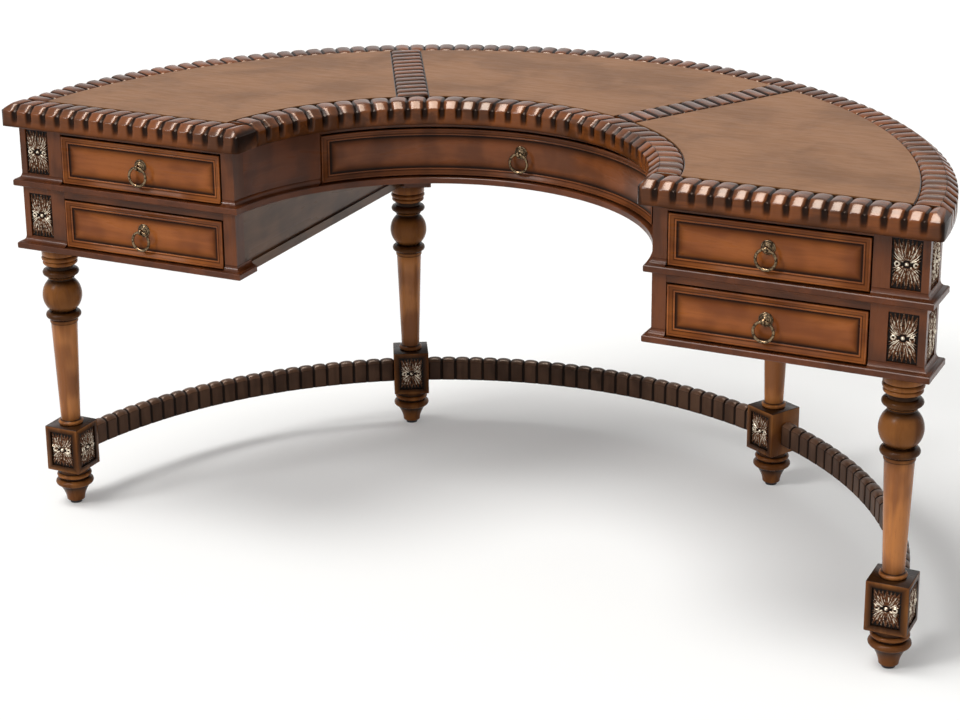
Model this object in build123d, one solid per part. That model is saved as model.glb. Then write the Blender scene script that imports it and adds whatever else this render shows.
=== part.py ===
from build123d import *
import math
import os

# Demilune desk: a half-ring top on two pedestals of drawers, a curved drawer between them,
# four turned legs and a curved stretcher that joins their blocks.
# The user sits at the open middle, on the side of -Y, and Z is up.
# All is drawn about the centre of the arcs, and moved forward as it is written, so that the
# origin lies on the floor under the middle of the top.

# Plan of the case and the top
case_inner_r = 382.0        # concave wall, at its face
case_outer_r = 820.0        # circle of the outer front corners
wall_step = 10.0            # convex wall, behind that circle
front_set = 38.0            # the pedestal fronts stand this far behind the arcs' centre
top_overhang = 22.0
border_width = 57.0
band_width = 57.0

# Heights, from the floor up
leg_height = 507.0
bottom_rail_height = 11.0
opening_height = 90.0       # each drawer's opening
mid_rail_height = 27.0
top_rail_height = 10.0
border_height = 40.0

# Top
bevel_width = 16.0          # slope at the border's edge, across
bevel_drop = 12.0           # and down
corner_round = 10.0
leather_drop = 2.5          # leather lies this far under the border's crown
leather_thick = 2.0
leather_gap = 1.5           # dark groove round each leather panel
band_sink = 8.0             # how deep a band is let into the core

# Case boards
wall_thick = 18.0
rail_thick = 18.0
deck_thick = 6.0
inner_post_width = 24.0
inner_post_depth = 27.0
outer_post_width = 87.0
outer_post_depth = 71.0
back_post_size = 64.0
back_post_inset = 31.0      # from the corners' circle to the middle of a back post
back_post_shift = 2.4       # a back post's middle lies this far outside the pedestal's inner side
centre_opening_turn = 54.76   # degrees from straight back, to the ends of the centre drawer
partition_thick = 18.0
panel_sink = 5.0            # the pedestal's inner panel lies behind its rail
panel_rail_height = 16.0

# Mouldings round the case
fascia_height = 11.0
fascia_reach = 12.0
cove_height = 11.0
cove_reach_shares = (0.72, 0.42, 0.18)   # steps of the cove, as shares of the fascia's reach
return_length = 58.0        # bottom moulding's run along the pedestal's inner side

# Drawers
front_gap = 2.0             # dark gap round a drawer front
front_thick = 20.0
front_proud = 3.0
frame_width = 13.5          # raised frame of a drawer front
field_sink = 5.0            # and the depth of the field inside it
field_slope = 30.0          # degrees, sides of the field
front_round = 2.0
box_side = 12.0
box_height = 72.0
box_bottom_thick = 6.0
box_bottom_rise = 8.0
box_side_gap = 5.0          # between a drawer's side and the end of its opening
pedestal_box_clear = 27.5   # from a box's back to the convex wall, at its outer corner
centre_box_clear = 119.0
runner_width = 20.0
runner_lift = 1.0           # runners stand this far above the opening's lower edge
slide_gap = 0.3             # free play under and beside a drawer
guide_height = 16.0

# Ring pulls
plate_d = 24.0
plate_thick = 3.0
dome_d = 16.0
dome_thick = 3.0
stem_d = 6.0
ring_stand = 12.0           # the ring hangs this far before the drawer's field
ring_mean_r = 17.0
ring_wire_d = 4.0
eye_d = 11.0
eye_width = 6.0
eye_hole_d = 5.2
eye_round = 1.2
pull_rise = 6.0             # the eye's height above the middle of the opening
screw_d = 4.0
screw_hole_d = 4.2
screw_reach = 9.0           # thread that shows inside the drawer
nut_d = 9.0
nut_thick = 3.0
nut_hole_d = 4.1

# Carved plaques
plaque_width = 47.0
post_plaque_height = 80.0
leg_plaque_height = 66.0
plaque_margin = 12.0        # from a post's outer corner
plaque_sink = 4.0
plaque_proud = 1.5
side_plaque_proud = 3.0
plaque_play = 0.3
plaque_round = 1.2
plaque_bead_d = 7.0
plaque_rise = 7.0           # above the middle of the drawer beside it

# Turned leg, from the floor up
leg_inset = 40.0
glide_d = 22.0
glide_height = 6.0
cup_low_d = 33.0
cup_high_d = 57.0
cup_height = 31.0
foot_torus_d = 70.0
foot_torus_height = 13.0
foot_groove_d = 52.0
foot_groove_height = 4.0
foot_ring_d = 64.0
foot_ring_height = 8.0
foot_neck_d = 54.0
foot_neck_height = 10.0
block_size = 69.0
block_height = 86.5
block_round = 1.5
collar_d = 46.0
collar_height = 8.0
shaft_low_d = 35.5
shaft_high_d = 48.5
shaft_fillet_d = 51.0
shaft_fillet_height = 8.0
lower_ring_d = 64.0
lower_ring_height = 13.0
ball_d = 71.5
ball_height = 60.0
ball_neck_d = 51.0
ball_neck_height = 6.0
disc_d = 66.0
disc_height = 14.0
waist_d = 48.0
waist_height = 8.0
second_bead_d = 63.0
second_bead_height = 8.0
top_bead_d = 66.5
top_bead_height = 9.0
drum_d = 65.0
drum_height = 20.0

# Stretcher
stretcher_width = 24.0
stretcher_height = 42.0

# Fixings
bolt_d = 8.0
bolt_hole_d = 8.1
bolt_in_leg = 40.0
bolt_in_post = 45.0
dowel_d = 8.0
dowel_hole_d = 8.1
dowel_half = 18.0           # length on each side of the joint
dowel_spread = 20.0
glue_block_length = 60.0
glue_block_width = 20.0
glue_block_height = 24.0
top_screw_d = 4.0
top_screw_head_d = 8.0
top_screw_head_height = 2.5
top_screw_reach = 16.0      # into the top
glue_block_angles = (-66.0, -42.0, -12.0, 12.0, 42.0, 66.0)

# Places worked out from the sizes above
top_inner_r = case_inner_r - top_overhang
top_outer_r = case_outer_r + top_overhang
top_front = front_set - top_overhang
leather_inner_r = top_inner_r + border_width
leather_outer_r = top_outer_r - border_width
leather_front = top_front + border_width
lower_sill = leg_height + bottom_rail_height
lower_head = lower_sill + opening_height
upper_sill = lower_head + mid_rail_height
upper_head = upper_sill + opening_height
border_low = upper_head + top_rail_height
top_z = border_low + border_height
upper_low = upper_sill - fascia_height
core_top = top_z - leather_drop - leather_thick
reach = 2 * top_outer_r
plan_middle = (top_front + top_outer_r) / 2
wall_outer_r = case_outer_r - wall_step
wall_inner_r = wall_outer_r - wall_thick
apron_back_r = case_inner_r + wall_thick
inner_x = math.sqrt(case_inner_r**2 - front_set**2)
centre_opening_half = case_inner_r * math.sin(math.radians(centre_opening_turn))
back_post_r = case_outer_r - back_post_inset
band_angle = math.degrees(math.asin((inner_x + back_post_shift) / back_post_r))
outer_x = math.sqrt(case_outer_r**2 - front_set**2)
opening_low_x = inner_x + inner_post_width
opening_high_x = outer_x - outer_post_width
pedestal_box_back = math.sqrt(wall_inner_r**2 - opening_high_x**2) - pedestal_box_clear
centre_box_back = math.sqrt(wall_inner_r**2 - centre_opening_half**2) - centre_box_clear
rail_back = front_set + rail_thick
front_face = front_set - front_proud
front_back = front_face + front_thick
leg_x = outer_x - leg_inset
leg_y = front_set + leg_inset
block_low = (glide_height + cup_height + foot_torus_height + foot_groove_height
             + foot_ring_height + foot_neck_height)
block_middle = block_low + block_height / 2
stretcher_low = block_middle - stretcher_height / 2


def beyond(y):
    """The part of the plan behind a line across it."""
    return Pos(0, y + reach / 2) * Rectangle(2 * reach, reach)


def half_ring(inner_r, outer_r, y):
    """A ring between two radii, cut along a line across it."""
    return (Circle(outer_r) - Circle(inner_r)) & beyond(y)


def strip(low_x, high_x, low_y, high_y):
    """A rectangle of the plan between two x and two y."""
    middle = Pos((low_x + high_x) / 2, (low_y + high_y) / 2)
    return middle * Rectangle(high_x - low_x, high_y - low_y)


def prism(plan, low, height):
    """A plan raised to a height."""
    return Pos(0, 0, low) * extrude(plan, amount=height)


def left_of(shape):
    """The same piece on the left pedestal."""
    return mirror(shape, about=Plane.YZ)


def polar(radius, angle):
    """Frame on a circle, with its Y pointing outwards."""
    return Rot(0, 0, -angle) * Pos(0, radius)


def save(name, *shapes):
    """Writes one or several separate solids as one node."""
    moved = [Pos(0, -plan_middle, 0) * solid for shape in shapes for solid in shape.solids()]
    whole = moved[0] if len(moved) == 1 else Compound(children=moved)
    whole.label = name
    export_step(whole, os.path.join("parts", name + ".step"))


def save_pair(name, shape):
    """Writes a piece of the right pedestal and its mirror image on the left."""
    save(name + "_right", shape)
    save(name + "_left", left_of(shape))


def save_both(name, shape):
    """Writes a piece of the right pedestal and its mirror image as one node."""
    save(name, shape, left_of(shape))


def upper_plan(margin):
    """Outline of the upper tier, grown by a margin."""
    ring = half_ring(case_inner_r - margin, wall_outer_r + margin, front_set - margin)
    return ring + post_plan(margin) + left_of(post_plan(margin))


def back_post_plan(margin):
    """Outline of the right back post, grown by a margin."""
    side = back_post_size + 2 * margin
    return polar(back_post_r, band_angle) * Rectangle(side, side)


def pedestal_plan(margin):
    """Outline of the right pedestal's lower tier, grown by a margin."""
    disc = Circle(wall_outer_r + margin) & beyond(front_set - margin)
    side = disc & strip(inner_x - margin, reach, -reach, reach)
    edge = -back_post_size / 2 - margin
    turned = Rot(0, 0, -band_angle) * strip(edge, reach, -reach, reach)
    return (side & turned) + back_post_plan(margin) + post_plan(margin)


def post_plan(margin):
    """Outline of the right outer front post, grown by a margin on its three outer sides."""
    back = front_set + outer_post_depth
    return strip(opening_high_x, outer_x + margin, front_set - margin, back + margin)


def inner_post_plan(low_x):
    """Outline of the right inner front post."""
    return strip(low_x, opening_low_x, front_set, front_set + inner_post_depth)


def side_frame():
    """Place of the side plaques: on the outer post's flat side, facing outwards."""
    y = front_set + plaque_margin + plaque_width / 2
    return Pos(outer_x, y) * Rot(0, 0, -90)


def top_blank():
    """The whole top as one bevelled board with rounded corners, before it is parted."""
    plan = half_ring(top_inner_r, top_outer_r, top_front)
    blank = prism(plan, border_low, border_height)
    crown = blank.faces().sort_by(Axis.Z)[-1]
    blank = chamfer(crown.edges(), bevel_width, bevel_drop, reference=crown)
    rounded = prism(plan, border_low, border_height)
    return blank & fillet(rounded.edges().filter_by(Axis.Z), corner_round)


def band_plan(margin):
    """Both radial bands, wider by a margin at each side."""
    long = leather_outer_r - leather_inner_r + border_width
    middle = (leather_outer_r + leather_inner_r) / 2
    one = polar(middle, band_angle) * Rectangle(band_width + 2 * margin, long)
    return one + mirror(one, about=Plane.YZ)


def build_top():
    """Core, carved borders, radial bands and leather panels."""
    blank = top_blank()
    outer = blank & prism(half_ring(leather_outer_r, reach, leather_front), border_low, border_height)
    inside = Circle(leather_inner_r) & beyond(leather_front)
    inner = blank & prism(inside, border_low, border_height)
    front = blank & prism(strip(0, reach, top_front, leather_front), border_low, border_height)
    field = half_ring(leather_inner_r, leather_outer_r, leather_front)
    bands = band_plan(0) & field
    core = prism(field, border_low, core_top - border_low)
    for frame in glue_frames():
        outer -= frame * top_screw_hole(border_low)
        core -= frame * top_screw_hole(border_low)
    save("border_outer", outer)
    save("border_inner", inner)
    save_pair("border_front", front)
    core -= prism(bands, core_top - band_sink, band_sink)
    save("top_core", core)
    save("radial_bands", prism(bands, core_top - band_sink, band_sink + leather_thick + leather_drop))
    inset = half_ring(leather_inner_r + leather_gap, leather_outer_r - leather_gap,
                      leather_front + leather_gap)
    panels = (inset - band_plan(leather_gap)).faces()
    save("leather_panels", *[prism(panel, core_top, leather_thick) for panel in panels])


def top_screw_hole(low):
    """Pilot hole of a screw that rises from a glue block into the top."""
    return Pos(0, 0, low) * Cylinder(top_screw_d / 2, top_screw_reach, align=(
        Align.CENTER, Align.CENTER, Align.MIN))


def glue_frames():
    """Places of the glue blocks inside the convex wall."""
    middle = wall_inner_r - glue_block_width / 2
    return [polar(middle, angle) for angle in glue_block_angles]


def build_glue_blocks():
    """Blocks in the corner of wall and top, each with its screw."""
    low = border_low - glue_block_height
    blocks, screws = [], []
    for frame in glue_frames():
        block = frame * prism(Rectangle(glue_block_length, 2 * glue_block_width), low, glue_block_height)
        block &= prism(Circle(wall_inner_r), low, glue_block_height)
        shank = Pos(0, 0, low) * Cylinder(top_screw_d / 2, glue_block_height + top_screw_reach, align=(
            Align.CENTER, Align.CENTER, Align.MIN))
        head = Pos(0, 0, low - top_screw_head_height) * Cylinder(
            top_screw_head_d / 2, top_screw_head_height, align=(
                Align.CENTER, Align.CENTER, Align.MIN))
        blocks.append(block - frame * shank)
        screws.append(frame * (shank + head))
    save("glue_blocks", *blocks)
    save("top_screws", *screws)


def build_walls():
    """Convex wall, concave aprons, pedestal walls and panels."""
    upper_height = border_low - upper_low
    behind_post = front_set + outer_post_depth
    save("outer_wall_upper", prism(half_ring(wall_inner_r, wall_outer_r, behind_post),
                                   upper_low, upper_height))
    apron = half_ring(case_inner_r, apron_back_r, front_set + inner_post_depth)
    apron &= strip(centre_opening_half, reach, -reach, reach)
    save_both("aprons", prism(apron, upper_low, upper_height))
    lower = half_ring(wall_inner_r, wall_outer_r, behind_post) & pedestal_plan(0)
    lower -= back_post_plan(0)
    save_pair("outer_wall_lower", prism(lower, leg_height, upper_low - leg_height))
    panel = strip(inner_x, inner_x + wall_thick, front_set + inner_post_depth, reach) & pedestal_plan(0)
    panel = (panel - back_post_plan(0)).faces().sort_by(Axis.Y)[0]
    board = prism(panel, leg_height, upper_low - leg_height)
    hollow = strip(inner_x, inner_x + panel_sink, front_set + inner_post_depth, reach)
    rail_top = leg_height + panel_rail_height
    save_both("inner_panels", board - prism(hollow, rail_top, upper_low - rail_top))
    partition = strip(centre_opening_half, centre_opening_half + partition_thick, 0, reach)
    partition &= half_ring(apron_back_r, wall_inner_r, 0)
    deck_top = upper_low + deck_thick
    save_both("partitions", prism(partition, deck_top, border_low - deck_top))


def build_rails():
    """Face rails above, between and below the drawers."""
    front = strip(opening_low_x, opening_high_x, front_set, rail_back)
    centre = half_ring(case_inner_r, apron_back_r, 0)
    centre &= strip(-centre_opening_half, centre_opening_half, 0, reach)
    top_rail = prism(front, upper_head, top_rail_height)
    save("top_rails", top_rail, left_of(top_rail), prism(centre, upper_head, top_rail_height))
    mid_rail = prism(front, lower_head, mid_rail_height)
    save("mid_rails", mid_rail, left_of(mid_rail), prism(centre, upper_low, upper_sill - upper_low))
    save_both("bottom_rails", prism(front, leg_height, bottom_rail_height))


def build_decks():
    """Boards that close each tier from below and carry the runners."""
    upper = half_ring(apron_back_r, wall_inner_r, rail_back)
    posts = post_plan(0) + inner_post_plan(0)
    upper = upper - posts - mirror(posts, about=Plane.YZ)
    save("upper_deck", prism(upper, upper_low, deck_thick))
    lower = (Circle(wall_inner_r) & beyond(rail_back)) & pedestal_plan(0)
    lower &= strip(inner_x + wall_thick, reach, 0, reach)
    lower = lower - post_plan(0) - inner_post_plan(0) - back_post_plan(0)
    save_both("lower_decks", prism(lower, leg_height, deck_thick))


def plaque_frames(height_middle):
    """Places of a post's plaques in one tier: on its front face and on its side."""
    x = outer_x - plaque_margin - plaque_width / 2
    front = Pos(x, front_set, height_middle) * Rot(0, 0, 180)
    return front, side_frame() * Pos(0, 0, height_middle)


def pocket(height):
    """Sunk panel that a plaque lies in, its mouth at y = 0 and its floor behind it."""
    tall = height + 2 * plaque_play
    wide = plaque_width + 2 * plaque_play
    return Pos(0, -plaque_sink) * Box(wide, 2 * plaque_sink + top_overhang, tall, align=(
        Align.CENTER, Align.MIN, Align.CENTER))


def plaque(height, proud):
    """Carved plaque in its pocket, facing +Y, with its middle bead."""
    thick = plaque_sink + proud
    slab = Pos(0, -plaque_sink) * Box(plaque_width, thick, height, align=(
        Align.CENTER, Align.MIN, Align.CENTER))
    slab = chamfer(slab.faces().sort_by(Axis.Y)[-1].edges(), plaque_round)
    return slab + Pos(0, proud) * Sphere(plaque_bead_d / 2)


def build_posts():
    """Outer and inner front posts, back posts and the posts' plaques."""
    tall = border_low - leg_height
    post = prism(post_plan(0), leg_height, tall)
    plaques = []
    for sill in (lower_sill, upper_sill):
        middle = sill + opening_height / 2 + plaque_rise
        frames = plaque_frames(middle)
        for frame, proud in zip(frames, (plaque_proud, side_plaque_proud)):
            post -= frame * pocket(post_plaque_height)
            plaques.append(frame * plaque(post_plaque_height, proud))
    post -= Pos(leg_x, leg_y, leg_height) * bolt_hole(bolt_in_post)
    save_pair("outer_post", post)
    save("post_plaques", *plaques, *[left_of(piece) for piece in plaques])
    lower = prism(inner_post_plan(inner_x), leg_height, upper_low - leg_height)
    upper_part = inner_post_plan(0) - Circle(case_inner_r)
    inner = lower + prism(upper_part, upper_low, border_low - upper_low)
    save_both("inner_posts", inner)
    back = prism(back_post_plan(0), leg_height, upper_low - leg_height)
    back -= polar(back_post_r, band_angle) * Pos(0, 0, leg_height) * bolt_hole(bolt_in_post)
    save_both("back_posts", back)


def stepped_cove(outline, low):
    """Fascia with the steps of its cove above it, round an outline."""
    whole = prism(outline(fascia_reach) - outline(0), low, fascia_height)
    step = cove_height / len(cove_reach_shares)
    for index, share in enumerate(cove_reach_shares):
        ledge = outline(share * fascia_reach) - outline(0)
        whole += prism(ledge, low + fascia_height + index * step, step)
    return whole


def opening_cut(low):
    """Space before a pedestal's drawer, where the cove stops."""
    span = strip(opening_low_x, opening_high_x, front_set - 2 * fascia_reach, rail_back)
    return prism(span, low, cove_height)


def build_mouldings():
    """Mouldings under each tier, with the cove left out before the drawers."""
    mid = stepped_cove(upper_plan, upper_low)
    mid -= opening_cut(upper_sill) + left_of(opening_cut(upper_sill))
    centre = Circle(apron_back_r) & strip(-centre_opening_half, centre_opening_half, 0, reach)
    mid -= prism(centre, upper_sill, cove_height)
    behind = prism(beyond(front_set), upper_low, fascia_height + cove_height)
    split = prism(Circle((case_inner_r + case_outer_r) / 2), upper_low, fascia_height + cove_height)
    save("mid_mouldings", (mid & behind) - split, mid & behind & split, mid - behind)
    bottom = stepped_cove(pedestal_plan, leg_height)
    bottom -= opening_cut(lower_sill)
    inner_side = strip(0, inner_x, front_set - fascia_reach + return_length, reach)
    bare = inner_side - back_post_plan(fascia_reach)
    bottom -= prism(bare, leg_height, fascia_height + cove_height)
    save_both("bottom_mouldings", bottom)


def bolt_hole(depth):
    """Hole for a hanger bolt, from a joint upwards."""
    return Cylinder(bolt_hole_d / 2, depth, align=(Align.CENTER, Align.CENTER, Align.MIN))


def turned(rows, low):
    """A turned length: rows of form, height, diameter below and diameter above.
    A bead swells to its first diameter, and its second is its root."""
    edges, height = [], low
    point = (0, low)
    for form, rise, first, second in rows:
        start_r = (second if form == "bead" else first) / 2
        end_r = second / 2
        if abs(point[0] - start_r) > 0:
            edges.append(Line((point[0], 0, height), (start_r, 0, height)))
        end = (end_r, 0, height + rise)
        if form == "bead":
            edges.append(ThreePointArc((start_r, 0, height), (first / 2, 0, height + rise / 2), end))
        else:
            edges.append(Line((start_r, 0, height), end))
        height += rise
        point = (end_r, height)
    edges.append(Line((point[0], 0, height), (0, 0, height)))
    edges.append(Line((0, 0, height), (0, 0, low)))
    return revolve(make_face(edges), axis=Axis.Z)


def bead(height, diameter):
    """A half-round ring of a turned leg."""
    return ("bead", height, diameter, diameter - height)


def leg_foot_rows():
    """Rows of the leg's foot, from the glide to the block."""
    return (
        ("plain", cup_height, cup_low_d, cup_high_d),
        bead(foot_torus_height, foot_torus_d),
        ("plain", foot_groove_height, foot_groove_d, foot_groove_d),
        bead(foot_ring_height, foot_ring_d),
        ("plain", foot_neck_height, foot_neck_d, foot_neck_d),
    )


def leg_shaft_rows():
    """Rows of the leg's shaft, from the block to the case."""
    above = (
        ("plain", shaft_fillet_height, shaft_fillet_d, shaft_fillet_d),
        bead(lower_ring_height, lower_ring_d),
        ("bead", ball_height, ball_d, ball_neck_d),
        ("plain", ball_neck_height, ball_neck_d, ball_neck_d),
        bead(disc_height, disc_d),
        ("plain", waist_height, waist_d, waist_d),
        bead(second_bead_height, second_bead_d),
        bead(top_bead_height, top_bead_d),
        ("plain", drum_height, drum_d, drum_d),
    )
    used = block_low + block_height + collar_height + sum(row[1] for row in above)
    shaft = ("plain", leg_height - used, shaft_low_d, shaft_high_d)
    return (bead(collar_height, collar_d), shaft) + above


def dowel(frame, hole):
    """A dowel across a joint, along the frame's Y, or the hole for it."""
    radius = (dowel_hole_d if hole else dowel_d) / 2
    return frame * Rot(90, 0, 0) * Cylinder(radius, 2 * dowel_half)


def dowel_frames():
    """Middles of the dowels of the right-hand half, with Y along each dowel."""
    face_y = leg_y + block_size / 2
    x = math.sqrt(back_post_r**2 - face_y**2)
    places = [Pos(x, face_y)]
    turn = block_size / 2
    for side in (-turn, turn):
        radius = math.sqrt(back_post_r**2 - turn**2)
        places.append(Rot(0, 0, -band_angle) * Pos(side, radius) * Rot(0, 0, 90))
    lifts = (-dowel_spread / 2, dowel_spread / 2)
    return [place * Pos(0, 0, block_middle + lift) for place in places for lift in lifts]


def plaque_turns(back):
    """Which faces of a leg's block hold a plaque, as turns from +Y."""
    return (0, 180) if back else (90, 180, -90)


def leg(frame, back):
    """One turned leg with its block, and its plaques."""
    foot = turned(leg_foot_rows(), glide_height)
    block = Pos(0, 0, block_middle) * Box(block_size, block_size, block_height)
    block = fillet(block.edges(), block_round)
    whole = foot + block + turned(leg_shaft_rows(), block_low + block_height)
    whole -= Pos(0, 0, leg_height - bolt_in_leg) * bolt_hole(bolt_in_leg)
    plaques = []
    for turn in plaque_turns(back):
        face = Rot(0, 0, turn) * Pos(0, block_size / 2, block_middle)
        whole -= face * pocket(leg_plaque_height)
        plaques.append(frame * face * plaque(leg_plaque_height, plaque_proud))
    return frame * whole, plaques


def build_legs():
    """Four legs with their glides, hanger bolts, plaques, dowels and the stretchers."""
    front_frame = Pos(leg_x, leg_y)
    back_frame = polar(back_post_r, band_angle)
    holes = [dowel(frame, True) for frame in dowel_frames()]
    all_plaques, glides, bolts = [], [], []
    for name, frame, back in (("leg_front", front_frame, False), ("leg_back", back_frame, True)):
        whole, plaques = leg(frame, back)
        for hole in holes:
            whole -= hole
        save_pair(name, whole)
        all_plaques += plaques
        glides.append(frame * Cylinder(glide_d / 2, glide_height, align=(
            Align.CENTER, Align.CENTER, Align.MIN)))
        bolts.append(frame * Pos(0, 0, leg_height - bolt_in_leg) * Cylinder(
            bolt_d / 2, bolt_in_leg + bolt_in_post, align=(
                Align.CENTER, Align.CENTER, Align.MIN)))
    dowels = [dowel(frame, False) for frame in dowel_frames()]
    save("leg_plaques", *all_plaques, *[left_of(piece) for piece in all_plaques])
    save("glides", *glides, *[left_of(piece) for piece in glides])
    save("hanger_bolts", *bolts, *[left_of(piece) for piece in bolts])
    save("stretcher_dowels", *dowels, *[left_of(piece) for piece in dowels])
    build_stretchers(front_frame, back_frame, holes)


def build_stretchers(front_frame, back_frame, holes):
    """Three curved rails between the legs' blocks."""
    half = stretcher_width / 2
    block = Rectangle(block_size, block_size)
    blocks = front_frame * block + back_frame * block
    plan = half_ring(back_post_r - half, back_post_r + half, leg_y)
    plan = plan - blocks - mirror(blocks, about=Plane.YZ)
    faces = plan.faces().sort_by(Axis.X)
    for side, face in zip(("left", "centre", "right"), faces):
        rail = prism(face, stretcher_low, stretcher_height)
        for hole in holes:
            rail = rail - hole - left_of(hole)
        save("stretcher_" + side, rail)


def pull_mount(frame, inside):
    """Back plate, stem and eye of a pull at a field's face, and its nut inside the drawer.
    The frame's -Y points at the user, and inside is the wall's thickness."""
    eye = Cylinder(eye_d / 2, eye_width)
    eye = fillet(eye.edges().filter_by(GeomType.CIRCLE), eye_round) - Cylinder(eye_hole_d / 2, eye_d)
    eye = Pos(0, -ring_stand) * Rot(0, 90, 0) * eye
    plate = forward_disc(plate_d, plate_thick, 0)
    plate = fillet(plate.faces().sort_by(Axis.Y)[0].edges(), plate_thick / 2)
    dome = forward_disc(dome_d, dome_thick, plate_thick)
    dome = fillet(dome.faces().sort_by(Axis.Y)[0].edges(), dome_thick / 2)
    stem = forward_disc(stem_d, ring_stand - eye_hole_d / 2 - plate_thick, plate_thick)
    shank = forward_disc(screw_d, inside + screw_reach + plate_thick, -inside - screw_reach)
    nut = forward_disc(nut_d, nut_thick, -inside - nut_thick)
    nut -= forward_disc(nut_hole_d, inside + screw_reach, -inside - screw_reach)
    mount = plate + dome + shank + (stem - Pos(0, -ring_stand) * Rot(0, 90, 0) * Cylinder(
        eye_hole_d / 2, eye_d)) + eye
    return frame * mount, frame * nut


def forward_disc(diameter, thick, start):
    """A disc on the Y axis that runs from a start towards the user."""
    disc = Rot(90, 0, 0) * Cylinder(diameter / 2, thick, align=(
        Align.CENTER, Align.CENTER, Align.MIN))
    return Pos(0, -start) * disc


def pull_ring(frame):
    """Ring that hangs in the eye of its mount."""
    ring = Rot(90, 0, 0) * Torus(ring_mean_r, ring_wire_d / 2)
    return frame * Pos(0, -ring_stand, -ring_mean_r) * ring


def save_pull(name, field_y, x, sill, wall, drawer_front):
    """Writes a drawer's front, its mount and its ring, with the screw's hole through the front."""
    frame = Pos(x, field_y, sill + opening_height / 2 + pull_rise)
    seat = forward_disc(plate_d, front_thick, 0)
    hole = forward_disc(screw_hole_d, 2 * front_thick, -front_thick)
    save(name + "_front", drawer_front - frame * seat - frame * hole)
    mount, nut = pull_mount(frame, wall)
    save(name + "_pull_mount", mount, nut)
    save(name + "_pull_ring", pull_ring(frame))


def drawer_box(low_x, high_x, back, sill, front_cut):
    """Two sides, back and bottom of a drawer, behind the cut that its front makes."""
    low = sill + runner_lift + slide_gap
    side = strip(low_x, low_x + box_side, front_set, back) - front_cut
    other = strip(high_x - box_side, high_x, front_set, back) - front_cut
    rear = strip(low_x + box_side, high_x - box_side, back - box_side, back)
    floor = strip(low_x + box_side, high_x - box_side, front_set, back - box_side) - front_cut
    walls = [prism(plan, low, box_height) for plan in (side, other, rear)]
    return walls + [prism(floor, low + box_bottom_rise, box_bottom_thick)]


def build_pedestal_drawers():
    """Four drawers with flat fronts."""
    low_x, high_x = opening_low_x + front_gap, opening_high_x - front_gap
    wide, tall = high_x - low_x, opening_height - 2 * front_gap
    middle_x = (low_x + high_x) / 2
    cut = strip(-reach, reach, -reach, front_back)
    for tier, sill in (("lower", lower_sill), ("upper", upper_sill)):
        middle = Pos(middle_x, front_face, sill + opening_height / 2)
        board = middle * Box(wide, front_thick, tall, align=(
            Align.CENTER, Align.MIN, Align.CENTER))
        board = fillet(board.faces().sort_by(Axis.Y)[0].edges(), front_round)
        field = Plane.XZ * Rectangle(wide - 2 * frame_width, tall - 2 * frame_width)
        board -= middle * extrude(field, amount=-field_sink, taper=field_slope)
        box = drawer_box(opening_low_x + box_side_gap, opening_high_x - box_side_gap,
                         pedestal_box_back, sill, cut)
        field_y = front_face + field_sink
        wall = front_thick - field_sink
        save_pull(tier + "_right", field_y, middle_x, sill, wall, board)
        save_pull(tier + "_left", field_y, -middle_x, sill, wall, left_of(board))
        save(tier + "_right_box", *box)
        save(tier + "_left_box", *[left_of(piece) for piece in box])


def build_centre_drawer():
    """The wide drawer between the pedestals, with its hollow front."""
    half = centre_opening_half - front_gap
    face_r = case_inner_r - front_proud
    plan = half_ring(face_r, face_r + front_thick, 0) & strip(-half, half, 0, reach)
    low, tall = upper_sill + front_gap, opening_height - 2 * front_gap
    board = prism(plan, low, tall)
    inner = half - frame_width
    field_r = face_r + field_sink
    field = Circle(field_r) & strip(-inner, inner, 0, reach)
    board -= prism(field, low + frame_width, tall - 2 * frame_width)
    save_pull("centre", field_r, 0, upper_sill, front_thick - field_sink, board)
    side = centre_opening_half - box_side_gap
    save("centre_box", *drawer_box(-side, side, centre_box_back, upper_sill,
                                   Circle(face_r + front_thick)))


def runner_set(low_x, high_x, start, back, sill):
    """Runners under a drawer's sides and guides beside them."""
    deck_top = sill - fascia_height + deck_thick
    tall = sill + runner_lift - deck_top
    inner = runner_width - box_side_gap + slide_gap
    pieces = []
    for edge, way in ((low_x, 1), (high_x, -1)):
        ends = sorted((edge + way * slide_gap, edge + way * (inner + box_side)))
        pieces.append(prism(strip(*ends, start, back), deck_top, tall))
        ends = sorted((edge - way * box_side_gap, edge - way * slide_gap))
        pieces.append(prism(strip(*ends, start, back), deck_top, tall + guide_height))
    return pieces


def build_runners():
    """Runners and guides of the five drawers."""
    low_x, high_x = opening_low_x + box_side_gap, opening_high_x - box_side_gap
    pieces = []
    for sill in (lower_sill, upper_sill):
        one = runner_set(low_x, high_x, rail_back, pedestal_box_back, sill)
        pieces += one + [left_of(piece) for piece in one]
    side = centre_opening_half - box_side_gap
    behind = prism(Circle(apron_back_r), upper_low, opening_height)
    for piece in runner_set(-side, side, 0, centre_box_back, upper_sill):
        pieces.append(piece - behind)
    save("drawer_runners", *pieces)


os.makedirs("parts", exist_ok=True)
build_top()
build_glue_blocks()
build_walls()
build_rails()
build_decks()
build_posts()
build_mouldings()
build_legs()
build_pedestal_drawers()
build_centre_drawer()
build_runners()
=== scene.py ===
"""Demilune desk: carved half-ring top, five drawers, turned legs and a ribbed stretcher.

Plan sizes are millimetres about the centre of the desk's arcs, with Z up from the floor. The user
sits on the side of -Y. Meshes are turned to metres in the row frame as they are made.
"""
import logging
import math
from dataclasses import dataclass, field
from enum import Enum
from functools import partial
from typing import Any, Callable, Sequence

import bmesh
import bpy
import numpy as np
from bpy.types import Material, Mesh, Node, NodeSocket, NodeTree, Object
from mathutils import Matrix, Vector


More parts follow.
